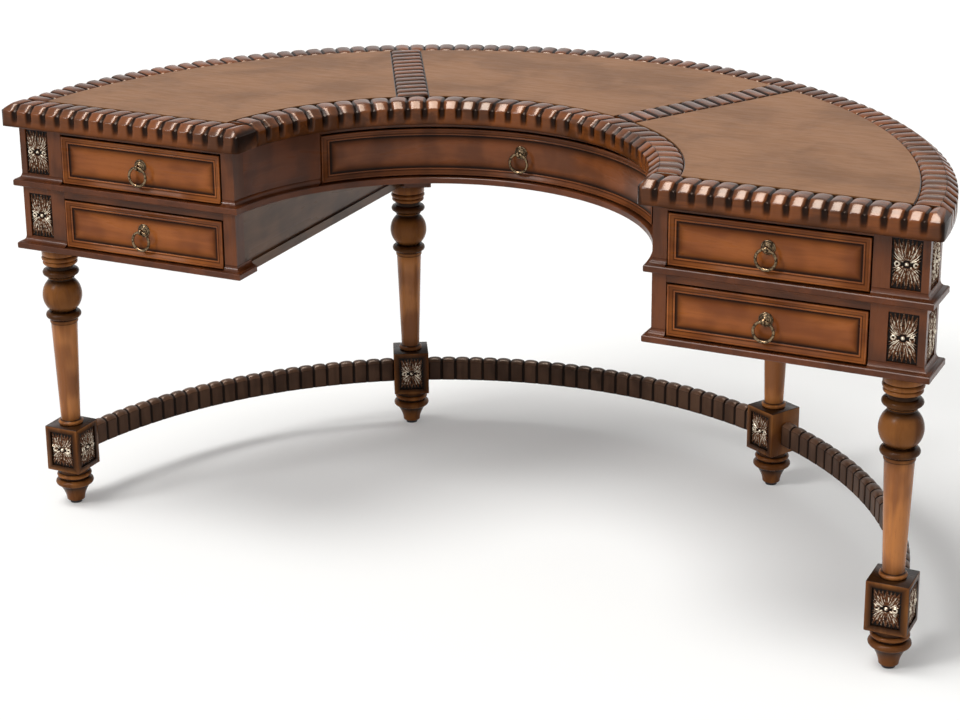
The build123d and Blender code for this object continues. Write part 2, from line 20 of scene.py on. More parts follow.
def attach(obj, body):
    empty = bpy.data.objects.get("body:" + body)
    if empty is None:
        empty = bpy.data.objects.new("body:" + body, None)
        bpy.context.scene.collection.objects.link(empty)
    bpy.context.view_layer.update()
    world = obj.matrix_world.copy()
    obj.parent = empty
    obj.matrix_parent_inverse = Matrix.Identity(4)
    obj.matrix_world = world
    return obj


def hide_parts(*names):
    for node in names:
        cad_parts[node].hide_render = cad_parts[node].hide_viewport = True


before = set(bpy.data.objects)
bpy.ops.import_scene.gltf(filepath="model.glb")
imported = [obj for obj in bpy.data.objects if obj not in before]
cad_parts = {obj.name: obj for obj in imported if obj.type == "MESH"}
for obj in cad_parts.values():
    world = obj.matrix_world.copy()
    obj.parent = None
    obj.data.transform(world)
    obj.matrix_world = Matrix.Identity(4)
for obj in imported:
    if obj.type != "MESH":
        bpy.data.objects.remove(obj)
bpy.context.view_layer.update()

log = logging.getLogger("demilune_desk")

MM = 0.001
PLAN_MIDDLE_Y = 429.0        # from the arcs' centre to the row frame's origin
GLAZE_AND_SHADE = "glaze"              # how dark glaze, patina and painted shade lie at a point, 0 to 1
TONE = "tone"                # each rib's own shade, 0 to 1
DESK_BODY = "desk"
MERGE_DISTANCE = 0.02 * MM   # points nearer than this are one

# Kinds of node that the trees repeat, and the settings that go with them
MATH = "ShaderNodeMath"
MIX = "ShaderNodeMix"
NOISE = "ShaderNodeTexNoise"
RAMP = "ShaderNodeMapRange"
JOIN_XYZ = "ShaderNodeCombineXYZ"
SPLIT_XYZ = "ShaderNodeSeparateXYZ"
EASED = {"interpolation_type": "SMOOTHSTEP"}
COLOUR = {"data_type": "RGBA"}

Section = Sequence[Sequence[float]]
Row = tuple[float, float, float]         # two places of a turning or a moulding, and its darkness from glaze, patina and painted shade
PlanPath = list[tuple[float, float]]     # points of the plan, or reach and height of a moulding


# Plan and heights


@dataclass(frozen=True)
class Plan:
    """Circles, fronts and levels that the sub-assemblies share."""

    top_inner_r: float = 360.0
    top_outer_r: float = 842.0
    top_front: float = 16.0
    border_width: float = 57.0
    case_inner_r: float = 382.0
    case_outer_r: float = 820.0       # circle of the outer front corners
    wall_outer_r: float = 810.0       # convex wall, set in from that circle
    case_front: float = 38.0
    leg_ring_r: float = 789.0
    leg_turn: float = 29.0            # degrees from straight back, to a back leg
    border_low: float = 735.0
    top_z: float = 775.0
    upper_low: float = 624.0
    upper_sill: float = 635.0
    upper_head: float = 725.0
    lower_head: float = 608.0
    lower_sill: float = 518.0
    leg_height: float = 507.0
    wall: float = 18.0
    post_out: float = 87.0            # width of the outer front post
    post_in: float = 24.0             # and of the inner one
    post_depth: float = 71.0
    inner_post_depth: float = 27.0
    post_size: float = 64.0           # back post, square
    centre_half: float = 312.0        # from the middle to each end of the centre drawer's opening

    @property
    def leather_front(self) -> float:
        """Line where the leather begins, behind the front borders."""
        return self.top_front + self.border_width

    @property
    def inner_x(self) -> float:
        """Inner end of a pedestal's front."""
        return math.sqrt(self.case_inner_r**2 - self.case_front**2)

    @property
    def outer_x(self) -> float:
        """Outer end of a pedestal's front."""
        return math.sqrt(self.case_outer_r**2 - self.case_front**2)

    @property
    def opening_low_x(self) -> float:
        """Inner end of a pedestal drawer's opening."""
        return self.inner_x + self.post_in

    @property
    def opening_high_x(self) -> float:
        """Outer end of a pedestal drawer's opening."""
        return self.outer_x - self.post_out


PLAN = Plan()


# Mesh drafts


@dataclass
class Draft:
    """A mesh in plan millimetres, with its glaze and painted shade, before it becomes a piece."""

    points: list[tuple[float, float, float]] = field(default_factory=list)
    faces: list[tuple[int, ...]] = field(default_factory=list)
    glaze: list[float] = field(default_factory=list)

    def add(self, points: Section, faces: Sequence[Sequence[int]], glaze: Sequence[float]) -> None:
        """Adds a closed shell to the draft.

        Args:
            points: Vertices of the shell.
            faces: Faces as indices into those vertices.
            glaze: Darkness of the glaze and painted shade at each vertex.
        """
        start = len(self.points)
        self.points += [tuple(float(v) for v in point) for point in points]
        self.faces += [tuple(start + int(index) for index in one) for one in faces]
        self.glaze += [float(value) for value in glaze]

    def loft(self, sections: np.ndarray, glaze: Sequence[float] | np.ndarray = 0.0,
             loop: bool = False) -> None:
        """Joins like sections, each a closed outline, into a shell.

        Args:
            sections: Array of sections, points and coordinates.
            glaze: One value, one for each point of a section, or one for each vertex.
            loop: True where the last section joins the first, so that no ends are capped.
        """
        count, size, _ = sections.shape
        faces = []
        for row in range(count if loop else count - 1):
            for column in range(size):
                a, b = row * size, (row + 1) % count * size
                after = (column + 1) % size
                faces.append((a + column, a + after, b + after, b + column))
        if not loop:
            faces.append(tuple(range(size)))
            faces.append(tuple(range((count - 1) * size, count * size)))
        dark = np.broadcast_to(np.asarray(glaze, float), (count, size)).ravel()
        self.add(sections.reshape(-1, 3), faces, dark)

    def lathe(self, rows: Sequence[Row], around: int) -> None:
        """Adds a turned shell about Z.

        Args:
            rows: Radius, height and darkness of each ring.
            around: Points round a ring.
        """
        rings = turned([(radius, height) for radius, height, _ in rows], around)
        self.loft(rings, np.repeat([[dark] for _, _, dark in rows], around, axis=1))

    def moved(self, matrix: Matrix) -> "Draft":
        """A copy of the draft, placed by a matrix in plan millimetres."""
        points = [tuple(matrix @ Vector(point)) for point in self.points]
        return Draft(points, list(self.faces), list(self.glaze))

    def merge(self, other: "Draft") -> None:
        """Adds another draft's shells."""
        self.add(other.points, other.faces, other.glaze)

    def mirrored(self) -> "Draft":
        """The same shells on the other side of the desk's middle."""
        return self.moved(Matrix.Scale(-1.0, 4, (1.0, 0.0, 0.0)))


def mesh_with_glaze_and_shade(name: str, points: np.ndarray, faces: Sequence[Sequence[int]],
                glaze: Sequence[float]) -> Mesh:
    """A new mesh in metres from points in millimetres, with its glaze and painted shade as an attribute.

    Args:
        name: Name of the mesh.
        points: Vertices in millimetres about the row frame's origin.
        faces: Faces as indices into the points.
        glaze: Darkness of the glaze and painted shade at each point.

    Returns:
        The new mesh, its normals not yet settled.
    """
    mesh = bpy.data.meshes.new(name)
    mesh.from_pydata((points * MM).tolist(), [], faces)
    mesh.attributes.new(GLAZE_AND_SHADE, "FLOAT", "POINT").data.foreach_set("value", glaze)
    return mesh


def settle(mesh: Mesh, sharp_degrees: float) -> None:
    """Merges doubles, points the faces outwards and smooths all but the sharp edges.

    Args:
        mesh: Mesh that is settled in place.
        sharp_degrees: Edges that turn by more than this stay sharp.
    """
    shell = bmesh.new()
    shell.from_mesh(mesh)
    bmesh.ops.remove_doubles(shell, verts=shell.verts, dist=MERGE_DISTANCE)
    bmesh.ops.dissolve_degenerate(shell, dist=MERGE_DISTANCE, edges=shell.edges)
    bmesh.ops.recalc_face_normals(shell, faces=shell.faces)
    for face in shell.faces:
        face.smooth = True
    shell.to_mesh(mesh)
    shell.free()
    mesh.set_sharp_from_angle(angle=math.radians(sharp_degrees))


def place(name: str, shell: Draft | Mesh, material: Material, node: str, body: str = DESK_BODY,
          sharp_degrees: float = 38.0) -> None:
    """Makes a finished piece that rides on its body and stands for its node.

    Args:
        name: Name of the piece.
        shell: Draft in plan millimetres, or mesh in row metres.
        material: Finish of the whole piece.
        node: Node that the piece stands for.
        body: Body that carries the piece.
        sharp_degrees: Edges that turn by more than this stay sharp.
    """
    mesh = shell
    if isinstance(shell, Draft):
        points = np.asarray(shell.points, float) - (0.0, PLAN_MIDDLE_Y, 0.0)
        mesh = mesh_with_glaze_and_shade(name, points, shell.faces, shell.glaze)
    settle(mesh, sharp_degrees)
    mesh.materials.clear()
    mesh.materials.append(material)
    piece = bpy.data.objects.new(name, mesh)
    bpy.context.scene.collection.objects.link(piece)
    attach(piece, body)
    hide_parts(node)
    log.info("%s: %d faces on %s", name, len(mesh.polygons), body)


# Outlines and shells


def on_circle(radius: float, degrees: float) -> tuple[float, float]:
    """Point of the plan on a circle, at an angle from straight back towards +X."""
    turn = math.radians(degrees)
    return radius * math.sin(turn), radius * math.cos(turn)


def arc(radius: float, start: float, end: float, count: int) -> PlanPath:
    """Points of the plan along an arc, between two angles in degrees."""
    return [on_circle(radius, angle) for angle in np.linspace(start, end, count)]


def end_angle(radius: float, y: float) -> float:
    """Angle in degrees at which a circle crosses a line across the plan."""
    return math.degrees(math.acos(y / radius))


def side_angle(radius: float, x: float) -> float:
    """Angle in degrees at which a circle crosses a line that runs from front to back."""
    return math.degrees(math.asin(x / radius))


def sweep(path: Callable[[float], PlanPath], rows: PlanPath) -> np.ndarray:
    """Sections of a moulding along an outline that is grown by each row's reach.

    Args:
        path: Gives the outline's points for a reach.
        rows: Reach and height of each point of the moulding's profile.

    Returns:
        Array of sections, one for each point of the outline.
    """
    outlines = [path(reach) for reach, _ in rows]
    sections = [[(*outline[index], height) for outline, (_, height) in zip(outlines, rows)]
                for index in range(len(outlines[0]))]
    return np.array(sections, float)


def turned(rows: Sequence[tuple[float, float]], around: int) -> np.ndarray:
    """Rings of a turned piece about Z, for a loft.

    Args:
        rows: Radius and height of each ring.
        around: Points round a ring.

    Returns:
        Array of rings.
    """
    angles = np.linspace(0.0, 2 * math.pi, around, endpoint=False)
    return np.array([[(radius * math.cos(a), radius * math.sin(a), height) for a in angles]
                     for radius, height in rows])


def rounded_box(size: tuple[float, float, float], middle: tuple[float, float, float],
                edge: float) -> np.ndarray:
    """Sections of a board with softened edges, for a loft along Z.

    Args:
        size: Size along X, Y and Z.
        middle: Middle of the board.
        edge: Width of the bevel on its edges.

    Returns:
        Array of four sections of eight points.
    """
    half_x, half_y, half_z = (value / 2 for value in size)
    rows = ((edge, -half_z), (0.0, -half_z + edge), (0.0, half_z - edge), (edge, half_z))
    sections = []
    for inset, height in rows:
        x, y, cut = half_x - inset, half_y - inset, edge
        ring = ((x - cut, -y), (x, -y + cut), (x, y - cut), (x - cut, y),
                (-x + cut, y), (-x, y - cut), (-x, -y + cut), (-x + cut, -y))
        sections.append([(middle[0] + px, middle[1] + py, middle[2] + height) for px, py in ring])
    return np.array(sections)


def smooth(low: float, high: float, value: float) -> float:
    """Eased step from 0 at low to 1 at high."""
    share = min(1.0, max(0.0, (value - low) / (high - low)))
    return share * share * (3.0 - 2.0 * share)


# Ribbed runs, made with geometry nodes


@dataclass(frozen=True)
class RibRow:
    """One lengthwise line of a ribbed run's profile.

    inward and height place it, turn is the direction of the groove from the face (0) over the top
    (90) to the far face (180), groove is the groove's depth, dark is the glaze and painted shade all
    along it, and slant_share is how much of the groove's slant it has.
    """

    inward: float
    height: float
    turn: float = 0.0
    groove: float = 0.0
    dark: float = 0.0
    slant_share: float = 0.0
    glazed: float = 1.0              # how dark the groove's glaze and painted shade lie here

    def opposite(self, width: float) -> "RibRow":
        """The like line on the far side of a run that is this wide."""
        return RibRow(width - self.inward, self.height, 180.0 - self.turn, self.groove, self.dark,
                      -self.slant_share)


def rib_unit(name: str, rows: Sequence[RibRow], pitch: float, slant: float,
             dark_from: float = 0.34, face_from: float = 0.24) -> Object:
    """One rib of a run, open at both ends, ready to be repeated.

    Args:
        name: Name of the object.
        rows: Closed profile of the run.
        pitch: Length of one rib along the run.
        slant: How far a groove shifts along the run where slant_share is 1.
        dark_from: Share of the pitch from a rib's middle at which glaze and painted shade begin on its top.
        face_from: Share of the pitch from a rib's middle at which its face falls away, darkening with glaze
            and painted shade.

    Returns:
        Unlinked host object in metres, its length along X.
    """
    crest_shares = (0.0, 0.08, 0.16, 0.22, 0.27, 0.31, 0.34, 0.37, 0.4, 0.43, 0.46, 0.48, 0.5)
    face_to = min(face_from + 0.19, 0.485)       # where the face's flute is at its full depth
    dark_to = 0.46                               # where the glaze and painted shade in the top's grooves are darkest
    columns = [-share for share in reversed(crest_shares[1:])] + list(crest_shares)
    points, glaze = [], []
    for share in columns:
        side = abs(share)
        swell = (2 * side) ** 2
        flute = 0.15 * swell + 0.85 * smooth(face_from, face_to, side)
        lobe = 0.5 * swell + 0.5 * (2 * side) ** 7
        for row in rows:
            turn = math.radians(row.turn)
            top = math.sin(turn) ** 2
            depth = row.groove * (flute * (1 - top) + lobe * top)
            # Glaze and painted shade in the face's flutes and the grooves across the top, and the row's own
            # painted shade all along it
            dark = (smooth(face_from - 0.04, face_to - 0.01, side) * (1 - top)
                    + smooth(dark_from, dark_to, side) * top) * row.glazed
            points.append((share * pitch + row.slant_share * slant,
                           row.inward + depth * math.cos(turn),
                           row.height - depth * math.sin(turn)))
            glaze.append(max(dark, row.dark))
    size = len(rows)
    faces = [(a * size + b, a * size + (b + 1) % size, (a + 1) * size + (b + 1) % size, (a + 1) * size + b)
             for a in range(len(columns) - 1) for b in range(size)]
    return bpy.data.objects.new(name, mesh_with_glaze_and_shade(name, np.array(points), faces, glaze))


def feed(node: Node, inputs: dict | Sequence) -> None:
    """Sets or links a node's inputs.

    Args:
        node: Node that is fed.
        inputs: For each input, in order or by name or number, its value or what is linked to it. A
            node stands for its first output.
    """
    for key, value in inputs.items() if isinstance(inputs, dict) else enumerate(inputs):
        source = value.outputs[0] if isinstance(value, Node) else value
        if isinstance(source, NodeSocket):
            node.id_data.links.new(source, node.inputs[key])
        else:
            node.inputs[key].default_value = source


def add_node(tree: NodeTree, kind: str, inputs: dict | Sequence = (), **settings: object) -> Node:
    """Adds a node with its settings, input values and links.

    Args:
        tree: Tree that gets the node.
        kind: Blender's name of the node type.
        inputs: What feed takes.
        **settings: Properties of the node.

    Returns:
        The new node.
    """
    node = tree.nodes.new(kind)
    for key, value in settings.items():
        setattr(node, key, value)
    feed(node, inputs)
    return node


class RibbedRun:
    """Geometry nodes tree that repeats a rib and lays the run straight or round an arc."""

    SOCKETS = {"Geometry": "Geometry", "Count": "Int", "Pitch": "Float", "Half Length": "Float",
               "Face Radius": "Float", "Inward Sign": "Float", "Middle Angle": "Float",
               "Half Angle": "Float", "Centre Y": "Float", "Start X": "Float", "Face Y": "Float",
               "Bent": "Bool", "Seed": "Int", "Finish": "Material"}

    def __init__(self) -> None:
        """Builds the tree with its named inputs."""
        self.tree = bpy.data.node_groups.new("RibbedRun", "GeometryNodeTree")
        face = self.tree.interface
        for name, kind in self.SOCKETS.items():
            face.new_socket(name, in_out="INPUT", socket_type="NodeSocket" + kind)
        face.new_socket("Geometry", in_out="OUTPUT", socket_type="NodeSocketGeometry")
        self.tree.is_modifier = True
        self._wire()

    def _wire(self) -> None:
        """Adds and links the nodes."""
        node = partial(add_node, self.tree)
        add, times = {"operation": "ADD"}, {"operation": "MULTIPLY"}
        inputs = node("NodeGroupInput").outputs
        steps = node(MATH, (inputs["Count"], 1.0), operation="SUBTRACT")
        length = node(MATH, (steps, inputs["Pitch"]), **times)
        start = node(JOIN_XYZ, (node(MATH, (length, -0.5), **times),))
        line = node("GeometryNodeMeshLine", {
            "Count": inputs["Count"], "Start Location": start, "Offset": node(JOIN_XYZ, (inputs["Pitch"],))})
        copies = node("GeometryNodeInstanceOnPoints", {"Points": line, "Instance": inputs["Geometry"]})
        shade = node("FunctionNodeRandomValue", {"Seed": inputs["Seed"]}, data_type="FLOAT").outputs[1]
        toned = node("GeometryNodeStoreNamedAttribute", {"Geometry": copies, "Name": TONE, "Value": shade},
                     data_type="FLOAT", domain="INSTANCE")
        merged = node("GeometryNodeMergeByDistance", {
            "Geometry": node("GeometryNodeRealizeInstances", (toned,)), "Distance": MERGE_DISTANCE})
        along, inward, up = node(SPLIT_XYZ, (node("GeometryNodeInputPosition"),)).outputs
        share = node(MATH, (along, inputs["Half Length"]), operation="DIVIDE")
        swing = node(MATH, (share, inputs["Half Angle"]), **times)
        angle = node(MATH, (inputs["Middle Angle"], swing), **add)
        radius = node(MATH, (inputs["Face Radius"], node(MATH, (inputs["Inward Sign"], inward), **times)),
                      **add)
        across, out = (node(MATH, (radius, node(MATH, (angle,), operation=way)), **times)
                       for way in ("SINE", "COSINE"))
        bent = node(JOIN_XYZ, (across, node(MATH, (inputs["Centre Y"], out), **add), up))
        flat = node(JOIN_XYZ, (node(MATH, (along, inputs["Start X"]), **add),
                               node(MATH, (inward, inputs["Face Y"]), **add), up))
        choice = node("GeometryNodeSwitch", (inputs["Bent"], flat, bent), input_type="VECTOR")
        laid = node("GeometryNodeSetPosition", {"Geometry": merged, "Position": choice})
        dressed = node("GeometryNodeSetMaterial", {"Geometry": laid, "Material": inputs["Finish"]})
        node("NodeGroupOutput", (dressed,))

    def run(self, unit: Object, material: Material, **values: float) -> Mesh:
        """Lays a run of ribs.

        Args:
            unit: Host object with one rib.
            material: Finish of the run.
            **values: Inputs by name with underscores for spaces, in metres and radians.

        Returns:
            The run as a plain mesh, open at its ends.
        """
        bpy.context.scene.collection.objects.link(unit)
        modifier = unit.modifiers.new("Ribs", "NODES")
        modifier.node_group = self.tree
        sockets = {item.name: item.identifier for item in self.tree.interface.items_tree
                   if item.in_out == "INPUT"}
        for name, value in values.items():
            modifier[sockets[name.replace("_", " ")]] = value
        modifier[sockets["Finish"]] = material
        graph = bpy.context.evaluated_depsgraph_get()
        mesh = bpy.data.meshes.new_from_object(unit.evaluated_get(graph))
        unit.modifiers.remove(modifier)
        bpy.data.objects.remove(unit)
        return mesh


def cut(mesh: Mesh, point: Sequence[float], outward: Sequence[float]) -> None:
    """Cuts a mesh by a plane and closes it there.

    Args:
        mesh: Mesh in row metres.
        point: Point of the plane, in plan millimetres.
        outward: Direction of the side that is taken off.
    """
    shell = bmesh.new()
    shell.from_mesh(mesh)
    where = (Vector(point) - Vector((0.0, PLAN_MIDDLE_Y, 0.0))) * MM
    normal, on_plane = Vector(outward).normalized(), 0.01 * MM
    everything = list(shell.verts) + list(shell.edges) + list(shell.faces)
    bmesh.ops.bisect_plane(shell, geom=everything, plane_co=where, plane_no=normal, clear_outer=True)
    rim = [edge for edge in shell.edges if edge.is_boundary
           and all(abs((corner.co - where).dot(normal)) < on_plane for corner in edge.verts)]
    bmesh.ops.holes_fill(shell, edges=rim, sides=0)
    shell.to_mesh(mesh)
    shell.free()


def turn_mesh(mesh: Mesh, degrees: float) -> None:
    """Turns a mesh in row metres about the arcs' centre, clockwise seen from above."""
    centre = Matrix.Translation((0.0, -PLAN_MIDDLE_Y * MM, 0.0))
    mesh.transform(centre @ Matrix.Rotation(-math.radians(degrees), 4, "Z") @ centre.inverted())


# Finishes


def linear(colour: str) -> tuple[float, float, float, float]:
    """Linear colour with full alpha from an sRGB hex value."""
    values = [int(colour[start:start + 2], 16) / 255 for start in (1, 3, 5)]
    return (*(v / 12.92 if v <= 0.04045 else ((v + 0.055) / 1.055) ** 2.4 for v in values), 1.0)


class Grain(Enum):
    """Way that the grain runs in a piece."""

    ALONG_X = "along_x"
    ALONG_Y = "along_y"
    UPRIGHT = "upright"
    ROUND = "round"


def new_material(name: str) -> tuple[Material, Callable[..., Node], Node]:
    """An empty node material, the way to add a node to it, and its shader, linked to the output.

    Args:
        name: Name of the real material.

    Returns:
        The material, its function that adds a node, and its shader.
    """
    material = bpy.data.materials.new(name)
    material.use_nodes = True
    material.node_tree.nodes.clear()
    node = partial(add_node, material.node_tree)
    shader = node("ShaderNodeBsdfPrincipled")
    node("ShaderNodeOutputMaterial", (shader,))
    return material, node, shader


def scale_of(width_mm: float) -> float:
    """Scale of a pattern whose features are this wide."""
    return 1.0 / (width_mm * MM)


def grain_vector(node: Callable[..., Node], grain: Grain) -> NodeSocket | Node:
    """Object coordinates turned so that X runs along the grain.

    Args:
        node: Adds a node to the material.
        grain: Way that the grain runs.

    Returns:
        Source of the turned coordinates.
    """
    where = node("ShaderNodeTexCoord").outputs["Object"]
    if grain is Grain.ALONG_X:
        return where
    if grain is Grain.ROUND:
        moved = node("ShaderNodeVectorMath", (where, (0.0, PLAN_MIDDLE_Y * MM, 0.0)), operation="ADD")
        x, y, up = node(SPLIT_XYZ, (moved,)).outputs
        angle = node(MATH, (x, y), operation="ARCTAN2")
        flat = node("ShaderNodeVectorMath", (moved, (1.0, 1.0, 0.0)), operation="MULTIPLY")
        radius = node("ShaderNodeVectorMath", (flat,), operation="LENGTH").outputs["Value"]
        middle_r = (PLAN.case_inner_r + PLAN.case_outer_r) / 2 * MM
        along = node(MATH, (angle, middle_r), operation="MULTIPLY")
        return node(JOIN_XYZ, (along, radius, up))
    turns = {Grain.ALONG_Y: (0.0, 0.0, math.pi / 2), Grain.UPRIGHT: (0.0, math.pi / 2, 0.0)}
    return node("ShaderNodeMapping", {"Vector": where, "Rotation": turns[grain]})


@dataclass(frozen=True)
class GlazedAndShadedWood:
    """Stained wood with a dark glaze and painted shade in its recesses, under satin lacquer.

    The grain shows as fine dark pores drawn out along the board, over slow changes of tone where
    the stain was wiped. The glaze and painted shade make every groove nearly black and softly
    darken the flats.
    """

    name: str
    light: str
    dark: str
    # colour of the glaze and of the painted shade in grooves, creases and gaps
    glaze: str = "#150A05"
    grain: Grain = Grain.ALONG_X
    figure_mm: float = 26.0          # width of the slow bands of tone
    pore_mm: float = 0.9             # drawn coarser than real pores, so that they show
    stretch: float = 9.0             # pores and bands are this much longer than wide
    roughness: float = 0.3
    lacquer: float = 0.32            # shellac on the crests, none where the glaze and painted shade lie
    mottle: float = 0.55             # how far tone wanders
    blotch_mm: float = 95.0          # width of the patches where the stain was wiped

    def make(self) -> Material:
        """Builds the material.

        Returns:
            The finished material.
        """
        material, node, shader = new_material(self.name)
        where = grain_vector(node, self.grain)
        drawn = node("ShaderNodeMapping", {"Vector": where, "Scale": (1.0 / self.stretch, 1.0, 1.0)})
        bands = node(NOISE, {"Vector": drawn, "Scale": scale_of(self.figure_mm), "Detail": 3.0,
                             "Distortion": 0.5})
        pores = node(NOISE, {"Vector": drawn, "Scale": scale_of(self.pore_mm * 3), "Detail": 3.0,
                             "Roughness": 0.7})
        blotch = node(NOISE, {"Vector": where, "Scale": scale_of(self.blotch_mm)})
        tone = node(MATH, (node(RAMP, (bands, 0.25, 0.75), **EASED),
                           node(RAMP, (blotch, 0.35, 0.65), **EASED)), operation="ADD")
        own = node("ShaderNodeAttribute", attribute_name=TONE).outputs["Fac"]
        # darkness of the glaze and painted shade, carried on the mesh
        depth = node("ShaderNodeAttribute", attribute_name=GLAZE_AND_SHADE).outputs["Fac"]
        wood = linear(self.light)
        for reading, colour in (
                ((tone, 1.0 - self.mottle, 1.0 + self.mottle, 0.1, 0.9), self.dark),    # slow tone
                ((pores, 0.5, 0.75, 0.0, 0.3), self.dark),                              # pores
                ((own, 0.0, 1.0, 0.0, 0.28), self.dark),                                # a rib's own shade
                ((depth, 0.05, 0.85, 0.0, 0.94), self.glaze)):                          # glaze and painted shade
            share = node(RAMP, reading, **EASED)
            wood = node(MIX, {0: share, 6: wood, 7: linear(colour)}, **COLOUR).outputs[2]
        feed(shader, {
            "Base Color": wood,
            "Roughness": node(RAMP, (bands, 0.3, 0.7, self.roughness * 0.85, self.roughness * 1.2), **EASED),
            "Normal": node("ShaderNodeBump", {"Height": pores, "Strength": 0.12, "Distance": 0.15 * MM}),
            "Coat Weight": node(RAMP, (depth, 0.0, 0.5, self.lacquer, 0.0), **EASED),
            "Coat Roughness": self.roughness * 0.6, "Specular IOR Level": 0.08})
        return material


@dataclass(frozen=True)
class MottledLeather:
    """Antiqued top-grain leather, wiped with stain so that it clouds, with a soft wax sheen."""

    name: str = "antiqued_brown_leather"
    light: str = "#835A39"
    dark: str = "#6A4526"
    cloud_mm: float = 160.0
    streak_mm: float = 7.0
    pebble_mm: float = 1.6
    roughness: float = 0.42

    def make(self) -> Material:
        """Builds the material.

        Returns:
            The finished material.
        """
        material, node, shader = new_material(self.name)
        where = node("ShaderNodeTexCoord").outputs["Object"]
        clouds = node(NOISE, {"Vector": where, "Scale": scale_of(self.cloud_mm), "Detail": 6.0,
                              "Roughness": 0.62, "Distortion": 0.4})
        drawn = node("ShaderNodeMapping", {"Vector": where, "Scale": (0.14, 1.0, 1.0)})
        streaks = node(NOISE, {"Vector": drawn, "Scale": scale_of(self.streak_mm), "Detail": 4.0,
                               "Roughness": 0.7})
        pebbles = node("ShaderNodeTexVoronoi", {"Vector": where, "Scale": scale_of(self.pebble_mm)})
        colour = linear(self.light)
        for reading in ((clouds, 0.36, 0.66), (streaks, 0.45, 0.75, 0.0, 0.3)):
            share = node(RAMP, reading, **EASED)
            colour = node(MIX, {0: share, 6: colour, 7: linear(self.dark)}, **COLOUR).outputs[2]
        feed(shader, {
            "Base Color": colour,
            "Roughness": node(RAMP, (streaks, 0.3, 0.7, self.roughness, self.roughness * 1.25), **EASED),
            "Normal": node("ShaderNodeBump", {"Height": pebbles, "Strength": 0.25, "Distance": 0.12 * MM}),
            "Specular IOR Level": 0.2, "Specular Tint": linear("#FFD8B4")})
        return material


@dataclass(frozen=True)
class LeafedCarving:
    """Carved wood with silver-gold leaf rubbed back over a near-black ground.

    High points shine, flanks keep warm brown, and the ground between the strands is dark glaze.
    """

    name: str = "silver_gold_leaf_carving"
    leaf: str = "#DCD0BC"
    flank: str = "#5E371D"
    ground: str = "#120A06"
    rub_mm: float = 5.0

    def make(self) -> Material:
        """Builds the material.

        Returns:
            The finished material.
        """
        material, node, shader = new_material(self.name)
        where = node("ShaderNodeTexCoord").outputs["Object"]
        rub = node(NOISE, {"Vector": where, "Scale": scale_of(self.rub_mm), "Detail": 3.0})
        depth = node("ShaderNodeAttribute", attribute_name=GLAZE_AND_SHADE).outputs["Fac"]
        worn = node(MATH, (depth, node(RAMP, (rub, 0.4, 0.7, -0.1, 0.25), **EASED)), operation="ADD")
        high = node(RAMP, (worn, 0.02, 0.22, 1.0, 0.0), **EASED)
        low = node(RAMP, (worn, 0.58, 0.84), **EASED)
        colour = linear(self.flank)
        for share, other in ((low, self.ground), (high, self.leaf)):
            colour = node(MIX, {0: share, 6: colour, 7: linear(other)}, **COLOUR).outputs[2]
        feed(shader, {"Base Color": colour, "Metallic": node(MATH, (high, 0.75), operation="MULTIPLY"),
                      "Roughness": node(RAMP, (rub, 0.3, 0.7, 0.24, 0.38), **EASED),
                      "Specular IOR Level": 0.12})
        return material


@dataclass(frozen=True)
class PatinaBronze:
    """Cast bronze with a brown-black patina that is rubbed bright where fingers touch it."""

    name: str = "dark_patina_bronze"
    metal: str = "#9C8466"
    patina: str = "#261E17"
    cloud_mm: float = 4.0

    def make(self) -> Material:
        """Builds the material.

        Returns:
            The finished material.
        """
        material, node, shader = new_material(self.name)
        where = node("ShaderNodeTexCoord").outputs["Object"]
        cloud = node(NOISE, {"Vector": where, "Scale": scale_of(self.cloud_mm), "Detail": 5.0})
        depth = node("ShaderNodeAttribute", attribute_name=GLAZE_AND_SHADE).outputs["Fac"]
        share = node(MATH, (node(RAMP, (cloud, 0.38, 0.66, 0.25, 0.95), **EASED), depth),
                     operation="MAXIMUM")
        colour = node(MIX, {0: share, 6: linear(self.metal), 7: linear(self.patina)}, **COLOUR).outputs[2]
        feed(shader, {"Base Color": colour, "Metallic": 1.0,
                      "Roughness": node(RAMP, (cloud, 0.3, 0.7, 0.2, 0.34), **EASED)})
        return material


@dataclass(frozen=True)
class PlainFinish:
    """A quiet finish with a fine mottle, for pieces that are seen little.

    Used for zinc plated steel, black moulded plastic and the raw secondary wood.
    """

    name: str
    light: str
    dark: str
    speck_mm: float
    roughness: float
    metallic: float = 0.0
    stretch: float = 1.0

    def make(self) -> Material:
        """Builds the material.

        Returns:
            The finished material.
        """
        material, node, shader = new_material(self.name)
        where = node("ShaderNodeTexCoord").outputs["Object"]
        drawn = node("ShaderNodeMapping", {"Vector": where, "Scale": (1.0 / self.stretch, 1.0, 1.0)})
        speck = node(NOISE, {"Vector": drawn, "Scale": scale_of(self.speck_mm), "Detail": 4.0})
        share = node(RAMP, (speck, 0.35, 0.65), **EASED)
        colour = node(MIX, {0: share, 6: linear(self.light), 7: linear(self.dark)}, **COLOUR).outputs[2]
        feed(shader, {
            "Base Color": colour, "Metallic": self.metallic,
            "Roughness": node(RAMP, (speck, 0.3, 0.7, self.roughness, self.roughness * 1.2), **EASED)})
        return material


def made(finish: Any) -> Any:
    """A dataclass field that holds the material of a finish."""
    return field(default_factory=finish.make)


